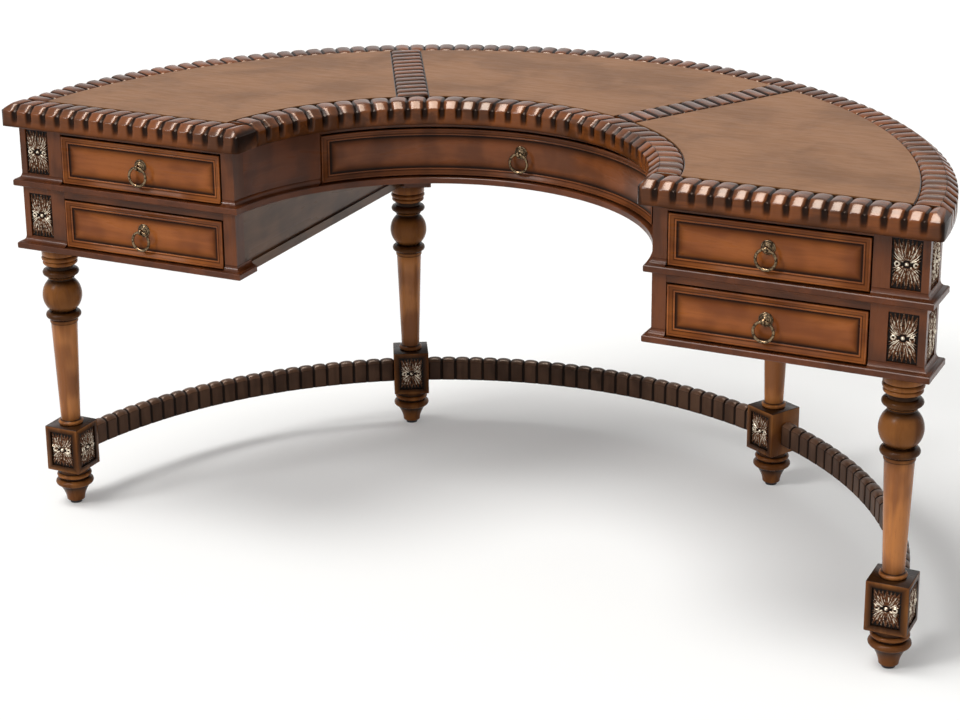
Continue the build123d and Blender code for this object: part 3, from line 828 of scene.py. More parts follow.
@dataclass
class Finishes:
    """Every finish of the desk, made once."""

    # Carved cherry: close figure, glossy crests over nearly black grooves
    border: Material = made(GlazedAndShadedWood(
        "carved_glazed_cherry", "#7D441D", "#4A2811", figure_mm=18.0, roughness=0.22, lacquer=0.28))
    # Wiped cherry veneer: the warmest and most clouded of the woods
    front: Material = made(GlazedAndShadedWood("veneered_glazed_cherry", "#A45D28", "#703915", mottle=0.9))
    # The same veneer on the hollow front: darker, its grain along the bend
    centre: Material = made(GlazedAndShadedWood(
        "curved_glazed_cherry", "#824824", "#5C3218", grain=Grain.ROUND, mottle=0.8))
    # Solid cherry of rails and decks: plain brown, along X
    board: Material = made(GlazedAndShadedWood("solid_glazed_cherry", "#6F3C1D", "#482613", mottle=0.6))
    # The same boards as posts, with the grain upright
    upright: Material = made(GlazedAndShadedWood(
        "upright_glazed_cherry", "#6F3C1D", "#482613", grain=Grain.UPRIGHT, mottle=0.6))
    # Bent cherry of walls and mouldings: the reddest and darkest, along the bend
    wall: Material = made(GlazedAndShadedWood(
        "bent_glazed_cherry", "#65351A", "#482410", grain=Grain.ROUND, mottle=0.8))
    # Panels beside the knees: greyer, with little stain
    side: Material = made(GlazedAndShadedWood(
        "side_glazed_cherry", "#6A4A32", "#48301E", grain=Grain.ALONG_Y, mottle=0.6))
    # Turned legs: the lightest and most golden wood, against their dark rings
    leg: Material = made(GlazedAndShadedWood(
        "turned_golden_brown_wood", "#BC783E", "#824D26", grain=Grain.UPRIGHT, roughness=0.24, lacquer=0.36))
    # Stretcher: greyer and duller than the case, so that it stays back
    stretcher: Material = made(GlazedAndShadedWood(
        "ribbed_dark_stained_wood", "#715340", "#4C3629", grain=Grain.UPRIGHT, roughness=0.42, lacquer=0.3))
    # Edge of the core: nearly black, painted shade in the gap between border and leather
    core: Material = made(GlazedAndShadedWood("shaded_gap_edge_wood", "#2A1910", "#1C100A"))
    leather: Material = made(MottledLeather())
    leaf: Material = made(LeafedCarving())
    bronze: Material = made(PatinaBronze())
    # Pale bare wood with drawn out grain
    inner: Material = made(PlainFinish("sanded_poplar", "#B99A70", "#A28154", 6.0, 0.6, stretch=12.0))
    # Light grey metal, softly spotted
    steel: Material = made(PlainFinish("zinc_plated_steel", "#B9BBBD", "#8E9092", 1.2, 0.35, metallic=1.0))
    # Black, with an even dull shine
    plastic: Material = made(PlainFinish("moulded_black_nylon", "#141414", "#0A0A0A", 1.0, 0.45))


# Sub-assemblies


@dataclass
class CarvedTop:
    """Ribbed borders, radial bands and leather of the top."""

    finishes: Finishes
    ribs: RibbedRun
    bevel_width: float = 16.0
    bevel_drop: float = 12.0
    pitch: float = 29.6
    front_ribs: int = 16
    band_ribs: int = 13
    left_slant: float = 7.0
    inner_slant: float = 4.0
    band_slant: float = 10.0
    band_lap: float = 1.0            # how far a band reaches into each border
    corner: float = 10.0             # radius of the front borders' upright corners
    spare_ribs: int = 2              # extra ribs that the end cuts take off

    def border_rows(self) -> list[RibRow]:
        """Profile of a border: plain foot, ribbed face, bevel between two ridges, domed top.

        Returns:
            Lines from the foot of the hidden back, over the face, to the top's far edge.
        """
        low, top, width = PLAN.border_low, PLAN.top_z, PLAN.border_width
        bevel_low = top - self.bevel_drop
        slope = math.degrees(math.atan2(self.bevel_width, self.bevel_drop))
        # Painted shade darkens the foot's lower edge, the crease by the ridge and the far edge against the
        # leather, and with the glaze the flutes, fading out towards the foot; the face is also darker towards
        # the bottom
        foot = [RibRow(width, low, glazed=0.0), RibRow(1.2, low, dark=0.6, glazed=0.0),
                RibRow(0.0, low + 1.2, dark=0.45, glazed=0.0)]
        face = [RibRow(0.0, low + 4.0, 0.0, 0.1, 0.3, glazed=0.1),
                RibRow(0.0, low + 7.0, 0.0, 0.9, 0.14, glazed=0.3),
                RibRow(0.0, low + 10.0, 0.0, 2.2, 0.08, glazed=0.5),
                RibRow(0.0, low + 14.0, 0.0, 3.3, 0.04, glazed=0.7),
                RibRow(0.0, low + 19.0, 0.0, 3.8, glazed=0.85), RibRow(0.0, bevel_low - 3.0, 0.0, 4.0)]
        bevel = [RibRow(0.3, bevel_low - 0.8, 12.0, 3.6), RibRow(1.3, bevel_low + 0.9, 28.0, 3.8),
                 RibRow(3.4, bevel_low + 2.3, slope * 0.8, 4.0), RibRow(6.6, bevel_low + 4.7, slope, 4.2),
                 RibRow(10.2, bevel_low + 7.4, slope, 4.3), RibRow(13.0, bevel_low + 9.6, slope, 4.4)]
        ridge = [RibRow(15.2, top - 0.95, 66.0, 4.5), RibRow(17.0, top - 0.2, 80.0, 4.6),
                 RibRow(18.2, top - 0.5, 90.0, 4.7, 0.75, 0.02),
                 RibRow(19.4, top - 0.2, 90.0, 4.8, 0.1, 0.04)]
        dome = [RibRow(inward, top - drop, 90.0, 5.0, 0.0, (inward - 17.0) / (width - 17.0))
                for inward, drop in ((24.0, 0.0), (32.0, 0.0), (40.0, 0.1), (46.0, 0.4), (50.5, 1.1),
                                     (53.6, 2.2), (55.7, 3.8))]
        return foot + face + bevel + ridge + dome + [RibRow(width, top - 6.0, 90.0, 4.0, 0.6, 1.0)]

    def band_rows(self) -> list[RibRow]:
        """Profile of a radial band, a domed lobe across its whole width.

        Returns:
            Lines round the band, symmetric about its middle.
        """
        width, top = PLAN.border_width, PLAN.top_z
        low = top - 12.5             # the band is let into the core
        rows = [RibRow(width, low, glazed=0.0), RibRow(0.0, low, glazed=0.0)]
        # Painted shade darkens each band's edges, where it meets the leather
        rows += [RibRow(inward, top - drop, 90.0, 4.5, dark, inward / width - 0.5) for inward, drop, dark in (
            (0.0, 4.0, 1.0), (1.0, 2.2, 0.8), (2.4, 1.1, 0.3), (4.5, 0.4, 0.1), (9.0, 0.1, 0.0),
            (18.0, 0.0, 0.0), (width / 2, 0.0, 0.0))]
        return rows + [row.opposite(width) for row in reversed(rows[2:-1])]

    def bent_border(self, name: str, face_r: float, sign: float, slant: float) -> None:
        """Makes a border round an arc, cut off in line with the leather's front.

        Args:
            name: Name of the node that it stands for.
            face_r: Radius of its outer face.
            sign: 1 where the border lies outside that radius, or -1 inside.
            slant: Shift of a groove along the arc, across the top.
        """
        half_angle = math.acos(PLAN.leather_front / face_r)
        count = round(2 * half_angle * face_r / self.pitch)
        pitch = 2 * half_angle * face_r / count
        count += self.spare_ribs
        unit = rib_unit(name, self.border_rows(), pitch, slant)
        half = count * pitch / 2
        mesh = self.ribs.run(unit, self.finishes.border, Count=count, Pitch=pitch * MM, Half_Length=half * MM,
                             Face_Radius=face_r * MM, Inward_Sign=sign, Middle_Angle=0.0,
                             Half_Angle=half / face_r, Centre_Y=-PLAN_MIDDLE_Y * MM, Bent=True, Seed=3)
        cut(mesh, (0.0, PLAN.leather_front, 0.0), (0.0, -1.0, 0.0))
        place("carved_" + name, mesh, self.finishes.border, name)

    def front_border(self, side: float, slant: float) -> None:
        """Makes the straight border over a pedestal's front, bevelled at both ends.

        Args:
            side: 1 for the right pedestal and -1 for the left.
            slant: Shift of a groove to the right, across the top.
        """
        front, back = PLAN.top_front, PLAN.leather_front
        ends = [[(side * math.sqrt(radius**2 - y**2), y) for y in (front, back)]
                for radius in (PLAN.top_inner_r, PLAN.top_outer_r)]
        low, high = sorted(end[0][0] for end in ends)
        pitch = (high - low) / self.front_ribs
        count = self.front_ribs + self.spare_ribs
        unit = rib_unit("front_border", self.border_rows(), pitch, slant)
        mesh = self.ribs.run(unit, self.finishes.border, Count=count, Pitch=pitch * MM, Half_Length=1.0,
                             Start_X=(low + high) / 2 * MM, Face_Y=(front - PLAN_MIDDLE_Y) * MM,
                             Bent=False, Seed=5)
        for end, way in zip(ends, (-side, side)):
            (x0, y0), (x1, y1) = end
            outward = Vector((y1 - y0, x0 - x1, 0.0)).normalized()
            outward = outward if outward.x * way > 0 else -outward
            bevel_low = PLAN.top_z - self.bevel_drop
            slope = outward * self.bevel_drop + Vector((0.0, 0.0, self.bevel_width))
            cut(mesh, (x0, y0, 0.0), outward)
            cut(mesh, (x0, y0, bevel_low), slope)
            middle = Vector((x0, y0, 0.0)) - outward * self.corner + Vector((0.0, self.corner, 0.0))
            for turn in (22.5, 45.0, 67.5):
                radians = math.radians(turn)
                direction = outward * math.cos(radians) + Vector((0.0, -1.0, 0.0)) * math.sin(radians)
                cut(mesh, middle + direction * self.corner, direction)
        name = "border_front_right" if side > 0 else "border_front_left"
        place("carved_" + name, mesh, self.finishes.border, name)

    def bands(self) -> None:
        """Makes both radial bands, which lean apart towards the back."""
        low_r = PLAN.top_inner_r + PLAN.border_width
        high_r = PLAN.top_outer_r - PLAN.border_width
        pitch = (high_r - low_r) / self.band_ribs
        meshes = []
        for side in (-1.0, 1.0):
            unit = rib_unit("band", self.band_rows(), pitch, side * self.band_slant, dark_from=0.22)
            mesh = self.ribs.run(unit, self.finishes.border, Count=self.band_ribs + self.spare_ribs,
                                 Pitch=pitch * MM, Half_Length=1.0, Start_X=(low_r + high_r) / 2 * MM,
                                 Face_Y=(-PLAN_MIDDLE_Y - PLAN.border_width / 2) * MM, Bent=False, Seed=7)
            cut(mesh, (low_r - self.band_lap, 0.0, 0.0), (-1.0, 0.0, 0.0))
            cut(mesh, (high_r + self.band_lap, 0.0, 0.0), (1.0, 0.0, 0.0))
            turn_mesh(mesh, side * PLAN.leg_turn - 90.0)
            meshes.append(mesh)
        place("carved_radial_bands", joined(*meshes), self.finishes.border, "radial_bands")

    def build(self) -> None:
        """Makes the top's carved pieces and dresses its leather and core."""
        self.bent_border("border_outer", PLAN.top_outer_r, -1.0, 0.0)
        self.bent_border("border_inner", PLAN.top_inner_r, 1.0, self.inner_slant)
        self.front_border(1.0, 0.0)
        self.front_border(-1.0, self.left_slant)
        self.bands()
        dress("leather_panels", self.finishes.leather)
        dress("top_core", self.finishes.core)


def joined(first: Mesh, second: Mesh) -> Mesh:
    """One mesh with the shells of two.

    Args:
        first: Mesh that takes up the other's shells.
        second: Mesh whose shells are added.

    Returns:
        The first mesh.
    """
    shell = bmesh.new()
    shell.from_mesh(first)
    shell.from_mesh(second)
    shell.to_mesh(first)
    shell.free()
    return first


def dress(node: str, material: Material) -> None:
    """Gives a carried-over node its finish.

    Args:
        node: Node of the solids.
        material: Its finish.
    """
    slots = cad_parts[node].data.materials
    slots.clear()
    slots.append(material)


@dataclass
class Case:
    """Curved walls, rails and mouldings of both tiers, and the finish of the flat pieces."""

    BOARD_STEPS = 96                 # points along a bent board
    OUTER_STEPS = 180                # and along each arc of the mouldings
    INNER_STEPS = 140
    FOOT_STEPS = 70
    CORNER_STEPS = 40

    finishes: Finishes
    fascia_height: float = 11.0
    fascia_reach: float = 12.0
    cove_height: float = 11.0
    return_length: float = 58.0
    edge: float = 0.8

    def put(self, name: str, draft: Draft, node: str, material: Material | None = None) -> None:
        """Places a wooden piece, in the walls' finish where no other is given."""
        place(name, draft, material or self.finishes.wall, node)

    def curved_board(self, draft: Draft, inner_r: float, outer_r: float, levels: tuple[float, float],
                     start: Callable[[float], float], end: Callable[[float], float]) -> None:
        """Adds a bent board with softened edges.

        Args:
            draft: Draft that gets the board.
            inner_r: Radius of its hollow face.
            outer_r: Radius of its round face.
            levels: Heights of its lower and upper edge.
            start: Angle in degrees where it begins, for a radius.
            end: Angle in degrees where it ends, for a radius.
        """
        (low, high), soft = levels, self.edge
        profile = ((inner_r + soft, low), (outer_r - soft, low), (outer_r, low + soft),
                   (outer_r, high - soft), (outer_r - soft, high), (inner_r + soft, high),
                   (inner_r, high - soft), (inner_r, low + soft))
        draft.loft(sweep(lambda radius: arc(radius, start(radius), end(radius), self.BOARD_STEPS), profile))

    def apron_board(self, draft: Draft, levels: tuple[float, float], start: Callable[[float], float],
                    end: Callable[[float], float]) -> None:
        """Adds a board of the hollow front, as curved_board does."""
        inner_r = PLAN.case_inner_r
        self.curved_board(draft, inner_r, inner_r + PLAN.wall, levels, start, end)

    def walls(self) -> None:
        """Makes the convex walls and the concave aprons."""
        upper, lower, apron = Draft(), Draft(), Draft()
        behind = PLAN.case_front + PLAN.post_depth
        inner_behind = PLAN.case_front + PLAN.inner_post_depth
        inner_r, outer_r = PLAN.wall_outer_r - PLAN.wall, PLAN.wall_outer_r
        self.curved_board(upper, inner_r, outer_r, (PLAN.upper_low, PLAN.border_low),
                          lambda radius: -end_angle(radius, behind), lambda radius: end_angle(radius, behind))
        self.put("bent_outer_wall_upper", upper, "outer_wall_upper")
        self.curved_board(lower, inner_r, outer_r, (PLAN.leg_height, PLAN.upper_low),
                          lambda radius: PLAN.leg_turn + side_angle(radius, PLAN.post_size / 2),
                          lambda radius: end_angle(radius, behind))
        for name, wall in (("right", lower), ("left", lower.mirrored())):
            self.put("bent_outer_wall_lower_" + name, wall, "outer_wall_lower_" + name)
        self.apron_board(apron, (PLAN.upper_low, PLAN.border_low),
                         lambda radius: side_angle(radius, PLAN.centre_half),
                         lambda radius: end_angle(radius, inner_behind))
        apron.merge(apron.mirrored())
        self.put("bent_aprons", apron, "aprons")

    def rails(self) -> None:
        """Makes the rails round each drawer."""
        width = PLAN.opening_high_x - PLAN.opening_low_x
        middle_x = (PLAN.opening_high_x + PLAN.opening_low_x) / 2
        middle_y = PLAN.case_front + PLAN.wall / 2
        # Levels of each rail over the pedestals, and over the knees where it goes on there
        levels = {
            "top_rails": ((PLAN.upper_head, PLAN.border_low), (PLAN.upper_head, PLAN.border_low)),
            "mid_rails": ((PLAN.lower_head, PLAN.upper_sill), (PLAN.upper_low, PLAN.upper_sill)),
            "bottom_rails": ((PLAN.leg_height, PLAN.lower_sill), None),
        }
        for node, ((low, high), centre) in levels.items():
            draft, straight = Draft(), Draft()
            straight.loft(rounded_box((width, PLAN.wall, high - low), (middle_x, middle_y, (low + high) / 2),
                                      0.5))
            draft.merge(straight)
            draft.merge(straight.mirrored())
            if centre:
                self.apron_board(draft, centre, lambda radius: -side_angle(radius, PLAN.centre_half),
                                 lambda radius: side_angle(radius, PLAN.centre_half))
            self.put("case_" + node, draft, node, self.finishes.board)

    def fascia_rows(self, low: float) -> PlanPath:
        """Profile of the plain fascia, with softened edges.

        Args:
            low: Level of its lower edge.

        Returns:
            Reach and height of each point.
        """
        reach, high, soft = self.fascia_reach, low + self.fascia_height, 1.2
        return [(0.0, low), (reach - soft, low), (reach, low + soft), (reach, high - soft),
                (reach - soft, high), (0.0, high)]

    def cove_rows(self, low: float) -> PlanPath:
        """Profile of the hollow that rises from the fascia to the wall.

        Args:
            low: Level of its lower edge.

        Returns:
            Reach and height of each point.
        """
        reach, tall = self.fascia_reach - 1.6, self.cove_height
        lip = 0.8
        rows = [(0.0, low), (reach, low), (reach, low + lip)]
        for turn in np.linspace(12.0, 80.0, 8):
            radians = math.radians(turn)
            rows.append((reach * (1 - math.sin(radians)) + 0.3,
                         low + lip + (tall - lip) * (1 - math.cos(radians))))
        return rows + [(0.0, low + tall)]

    @staticmethod
    def post_corners(reach: float) -> PlanPath:
        """Outer corners of the right front post, from the front backwards, grown by a reach."""
        side = PLAN.outer_x + reach
        return [(side, PLAN.case_front - reach), (side, PLAN.case_front + PLAN.post_depth + reach)]

    @staticmethod
    def upper_outline(reach: float) -> PlanPath:
        """Closed outline of the upper tier, grown by a reach.

        Args:
            reach: How far the outline is grown.

        Returns:
            Points of the plan, round the whole tier.
        """
        outer, inner = PLAN.wall_outer_r + reach, PLAN.case_inner_r - reach
        right = Case.post_corners(reach)
        left = [(-x, y) for x, y in reversed(right)]
        outside = end_angle(outer, right[-1][1])
        inside = end_angle(inner, PLAN.case_front - reach)
        outer_arc = arc(outer, outside, -outside, Case.OUTER_STEPS)
        return right + outer_arc + left + arc(inner, -inside, inside, Case.INNER_STEPS)

    @staticmethod
    def outer_outline(reach: float) -> PlanPath:
        """Outline of the cove from one pedestal's drawer round the back to the other's.

        Args:
            reach: How far the outline is grown.

        Returns:
            Points of the plan, from right to left.
        """
        outer = PLAN.wall_outer_r + reach
        right = [(PLAN.opening_high_x, PLAN.case_front - reach)] + Case.post_corners(reach)
        left = [(-x, y) for x, y in reversed(right)]
        turn = end_angle(outer, right[-1][1])
        return right + arc(outer, turn, -turn, Case.OUTER_STEPS) + left

    @staticmethod
    def inner_outline(reach: float) -> PlanPath:
        """Outline of the cove from a drawer round the inner post to the centre drawer.

        Args:
            reach: How far the outline is grown.

        Returns:
            Points of the plan on the right side.
        """
        front, inner = PLAN.case_front - reach, PLAN.case_inner_r - reach
        bend = arc(inner, end_angle(inner, front), side_angle(inner, PLAN.centre_half), Case.CORNER_STEPS)
        return [(PLAN.opening_low_x, front)] + bend

    def pedestal_outline(self, reach: float) -> PlanPath:
        """Outline of the right pedestal's foot, from the inner side round the back post to the front.

        Args:
            reach: How far the outline is grown.

        Returns:
            Open outline that ends on the pedestal's inner side, behind the front.
        """
        half = PLAN.post_size / 2 + reach
        turn = math.radians(PLAN.leg_turn)

        def post_point(across: float, out: float) -> tuple[float, float]:
            """Point of the plan from the back post's own axes."""
            return (across * math.cos(turn) + out * math.sin(turn),
                    out * math.cos(turn) - across * math.sin(turn))

        inner_x = PLAN.inner_x - reach
        inner_out = PLAN.leg_ring_r - half
        across = (inner_x - inner_out * math.sin(turn)) / math.cos(turn)
        outer = PLAN.wall_outer_r + reach
        merge_turn = PLAN.leg_turn + math.degrees(math.asin(half / outer))
        front = PLAN.case_front - reach
        corners = self.post_corners(reach)
        path = [post_point(across, inner_out), post_point(-half, inner_out),
                post_point(-half, PLAN.leg_ring_r + half), post_point(half, PLAN.leg_ring_r + half)]
        path += arc(outer, merge_turn, end_angle(outer, corners[-1][1]), self.FOOT_STEPS) + corners[::-1]
        path += [(inner_x, front), (inner_x, PLAN.case_front - self.fascia_reach + self.return_length)]
        return path

    def foot_outlines(self) -> list[Callable[[float], PlanPath]]:
        """Outlines of the foot's cove, which stops at each side of the drawer.

        Returns:
            The outer and the inner part, each a function of the reach.
        """
        def outer_part(reach: float) -> PlanPath:
            """From the back post round the outer corner to the drawer."""
            return self.pedestal_outline(reach)[:-2] + [(PLAN.opening_high_x, PLAN.case_front - reach)]

        def inner_part(reach: float) -> PlanPath:
            """From the drawer round the inner corner to the return's end."""
            return [(PLAN.opening_low_x, PLAN.case_front - reach)] + self.pedestal_outline(reach)[-2:]

        return [outer_part, inner_part]

    def mouldings(self) -> None:
        """Makes the fascias and coves under both tiers."""
        upper, side, foot = Draft(), Draft(), Draft()
        # Painted shade darkens the fascia where it meets the wall and under its front edge, and the cove at
        # its root, through its hollow and where it meets the wall above
        fascia_painted_shade = (0.5, 0.3, 0.0, 0.0, 0.1, 0.7)
        cove_painted_shade = (0.8, 0.6, 0.25, 0.25, 0.3, 0.35, 0.3, 0.2, 0.1, 0.1, 0.15, 0.5)
        upper.loft(sweep(self.upper_outline, self.fascia_rows(PLAN.upper_low)), fascia_painted_shade, loop=True)
        cove = self.cove_rows(PLAN.upper_sill)
        upper.loft(sweep(self.outer_outline, cove), cove_painted_shade)
        side.loft(sweep(self.inner_outline, cove), cove_painted_shade)
        upper.merge(side)
        upper.merge(side.mirrored())
        self.put("mid_cove_mouldings", upper, "mid_mouldings")
        foot.loft(sweep(self.pedestal_outline, self.fascia_rows(PLAN.leg_height)), fascia_painted_shade)
        for outline in self.foot_outlines():
            foot.loft(sweep(outline, self.cove_rows(PLAN.lower_sill)), cove_painted_shade)
        foot.merge(foot.mirrored())
        self.put("foot_cove_mouldings", foot, "bottom_mouldings")

    def build(self) -> None:
        """Makes the case's curved pieces and dresses its flat ones."""
        self.walls()
        self.rails()
        self.mouldings()
        finishes = self.finishes
        for material, nodes in (
                (finishes.upright, ("outer_post_left", "outer_post_right", "inner_posts", "back_posts")),
                (finishes.side, ("inner_panels",)), (finishes.board, ("upper_deck", "lower_decks")),
                (finishes.inner, ("partitions", "glue_blocks", "drawer_runners", "stretcher_dowels")),
                (finishes.steel, ("top_screws", "hanger_bolts")), (finishes.plastic, ("glides",))):
            for node in nodes:
                dress(node, material)


@dataclass(frozen=True)
class Leaf:
    """One carved leaf or strand in a quarter of a rosette.

    Its ends are shares of the panel's half width and half height. A leaf is hollow between two
    bright rims, and a strand is one bright ridge.
    """

    base: tuple[float, float]
    tip: tuple[float, float]
    half_width: float
    hollow: float = 0.45             # how far the middle sinks below the rims


LEAVES = (
    Leaf((0.0, 0.16), (0.0, 0.99), 4.4, 0.75), Leaf((0.0, 0.13), (0.0, 0.52), 2.0, 0.1),
    Leaf((0.09, 0.15), (0.30, 0.99), 2.6, 0.35), Leaf((0.16, 0.15), (0.60, 0.97), 3.3),
    Leaf((0.20, 0.13), (0.93, 0.94), 3.5), Leaf((0.24, 0.12), (0.95, 0.70), 2.5),
    Leaf((0.22, 0.09), (0.92, 0.50), 1.5, 0.0), Leaf((0.26, 0.08), (0.97, 0.36), 1.3, 0.0),
    Leaf((0.5, 0.12), (0.97, 0.22), 1.1, 0.0), Leaf((0.11, 0.17), (0.42, 0.80), 1.0, 0.0),
    Leaf((0.2, 0.15), (0.74, 0.76), 1.0, 0.0),
)


@dataclass
class Rosettes:
    """Carved rosettes of the posts and of the legs' blocks."""

    finishes: Finishes
    width: float = 47.0
    post_height: float = 80.0
    leg_height: float = 66.0
    sunk: float = 4.0
    front_proud: float = 1.5
    side_proud: float = 3.0
    post_margin: float = 12.0
    rise: float = 7.0
    post_step: float = 0.6
    leg_step: float = 0.72
    ground: float = 1.0              # thickness of the slab under the carving
    bead_r: float = 3.6
    eye_x: float = 14.5
    eye_r: float = 3.3
    eye_wire: float = 1.9

    def relief(self, x: np.ndarray, z: np.ndarray, height: float) -> tuple[np.ndarray, np.ndarray]:
        """Height and glaze of the carving at points of the panel.

        Args:
            x: Distances from the panel's middle, across.
            z: Distances from the panel's middle, upwards.
            height: Height of the panel.

        Returns:
            Relief, 0 on the ground and about 1 on the strands, and glaze, 1 on the ground.
        """
        margin = 0.8
        rim_at, rim_wide = 0.72, 0.2     # a hollow leaf's bright rim, as shares of its half width
        half = np.array((self.width / 2 - margin, height / 2 - margin))
        level, dark = np.zeros_like(x), np.ones_like(x)
        side_x, side_z = np.abs(x), np.abs(z)

        def lay(high: np.ndarray, shade: np.ndarray, inside: np.ndarray) -> None:
            """Keeps the higher of the carving so far and a new form.

            Args:
                high: Height of the new form at each point.
                shade: Its glaze at each point.
                inside: Points that it covers.
            """
            above = inside & (high > level)
            level[above] = high[above]
            dark[above] = shade[above]

        for leaf in LEAVES:
            base, tip = np.array(leaf.base) * half, np.array(leaf.tip) * half
            length = float(np.linalg.norm(tip - base))
            along = (tip - base) / length
            off_x, off_z = side_x - base[0], side_z - base[1]
            share = np.clip((off_x * along[0] + off_z * along[1]) / length, 0.0, 1.0)
            curl = 0.06 * length * np.sin(math.pi * share) * (1.0 if leaf.base[0] else 0.0)
            across = off_x * along[1] - off_z * along[0] - curl
            wide = leaf.half_width * np.sin(math.pi * np.clip(0.06 + 0.9 * share, 0, 1) ** 0.8) + 0.05
            way = np.clip(np.abs(across) / wide, 0.0, 1.0)
            inside = (way < 1.0) & (share > 0.0) & (share < 1.0)
            rim = np.exp(-(((way - rim_at) / rim_wide) ** 2)) if leaf.hollow else 1.0 - way**2
            round_ = np.sqrt(1.0 - way**2)
            swell = 0.62 + 0.38 * np.sin(math.pi * share**0.7)
            lay((round_ * (1 - leaf.hollow) + leaf.hollow * rim * round_) * swell,
                np.clip(0.66 - 0.74 * rim * (0.6 + 0.4 * round_), 0.0, 1.0), inside)
        ring = np.hypot(side_x - self.eye_x, z)
        swell = np.sqrt(np.clip(1.0 - ((ring - self.eye_r) / self.eye_wire) ** 2, 0.0, 1.0))
        hole = ring < self.eye_r + self.eye_wire
        level[hole], dark[hole] = 0.0, 1.0
        lay(1.15 * swell, 0.7 - 0.9 * swell, hole)
        reach = np.hypot(x, z)
        hole = reach < self.bead_r * 1.6
        level[hole], dark[hole] = 0.0, 1.0
        bead = np.sqrt(np.clip(1.0 - (reach / self.bead_r) ** 2, 0.0, 1.0))
        lay(1.3 * bead, 0.4 - 0.9 * bead, reach < self.bead_r)
        return level, np.clip(dark, 0.0, 1.0)

    def panel(self, height: float, proud: float, step: float) -> Draft:
        """Closed carved slab that faces +Y, its ground sunk behind y = 0.

        Args:
            height: Height of the panel.
            proud: How far the highest strand stands out of the face.
            step: Spacing of the carving's points.

        Returns:
            The panel as one closed shell.
        """
        columns, rows = round(self.width / step), round(height / step)
        floor_y, ground_y = -self.sunk, -self.sunk + self.ground
        crest = proud - ground_y
        xs = np.linspace(-self.width / 2, self.width / 2, columns + 1)
        zs = np.linspace(-height / 2, height / 2, rows + 1)
        grid_x, grid_z = np.meshgrid(xs, zs)
        level, dark = self.relief(grid_x, grid_z, height)
        rim = np.minimum(self.width / 2 - np.abs(grid_x), height / 2 - np.abs(grid_z))
        level *= np.clip(rim / 1.2, 0.0, 1.0)
        level *= 1.0 / max(1.0, float(level.max()))
        points = np.stack((grid_x, ground_y + crest * level, grid_z), axis=-1).reshape(-1, 3).tolist()
        size = columns + 1
        faces = [(r * size + c, r * size + c + 1, (r + 1) * size + c + 1, (r + 1) * size + c)
                 for r in range(rows) for c in range(columns)]
        corner = len(points)
        points += [(x, floor_y, z) for z in (zs[0], zs[-1]) for x in (xs[0], xs[-1])]
        bottom = tuple(range(size))
        top = tuple(rows * size + index for index in range(size))
        left = tuple(index * size for index in range(rows + 1))
        right = tuple(index * size + columns for index in range(rows + 1))
        faces += [(corner, corner + 1, corner + 3, corner + 2), (corner, *bottom, corner + 1),
                  (corner + 2, *top, corner + 3), (corner, *left, corner + 2),
                  (corner + 1, *right, corner + 3)]
        draft = Draft()
        draft.add(points, faces, [*dark.ravel(), 1.0, 1.0, 1.0, 1.0])
        return draft

    def build(self) -> None:
        """Makes the posts' rosettes and the legs' rosettes."""
        posts, legs = Draft(), Draft()
        front_x = PLAN.outer_x - self.post_margin - self.width / 2
        side_y = PLAN.case_front + self.post_margin + self.width / 2
        front = self.panel(self.post_height, self.front_proud, self.post_step)
        side = self.panel(self.post_height, self.side_proud, self.post_step)
        half_opening = (PLAN.lower_head - PLAN.lower_sill) / 2
        for sill in (PLAN.lower_sill, PLAN.upper_sill):
            level = sill + half_opening + self.rise
            for panel, x, y, turn in ((front, front_x, PLAN.case_front, math.pi),
                                      (side, PLAN.outer_x, side_y, -math.pi / 2)):
                spot = Matrix.Translation((x, y, level)) @ Matrix.Rotation(turn, 4, "Z")
                posts.merge(panel.moved(spot))
        panel = self.panel(self.leg_height, self.front_proud, self.leg_step)
        for leg in (FRONT_LEG, BACK_LEG):
            for turn in leg.plaque_turns:
                face = leg.frame() @ Matrix.Rotation(math.radians(turn), 4, "Z") @ Matrix.Translation(
                    (0.0, leg.block_size / 2, leg.block_middle))
                legs.merge(panel.moved(face))
        for name, draft in (("post", posts), ("leg", legs)):
            draft.merge(draft.mirrored())
            place(f"carved_{name}_rosettes", draft, self.finishes.leaf, name + "_plaques",
                  sharp_degrees=60.0)


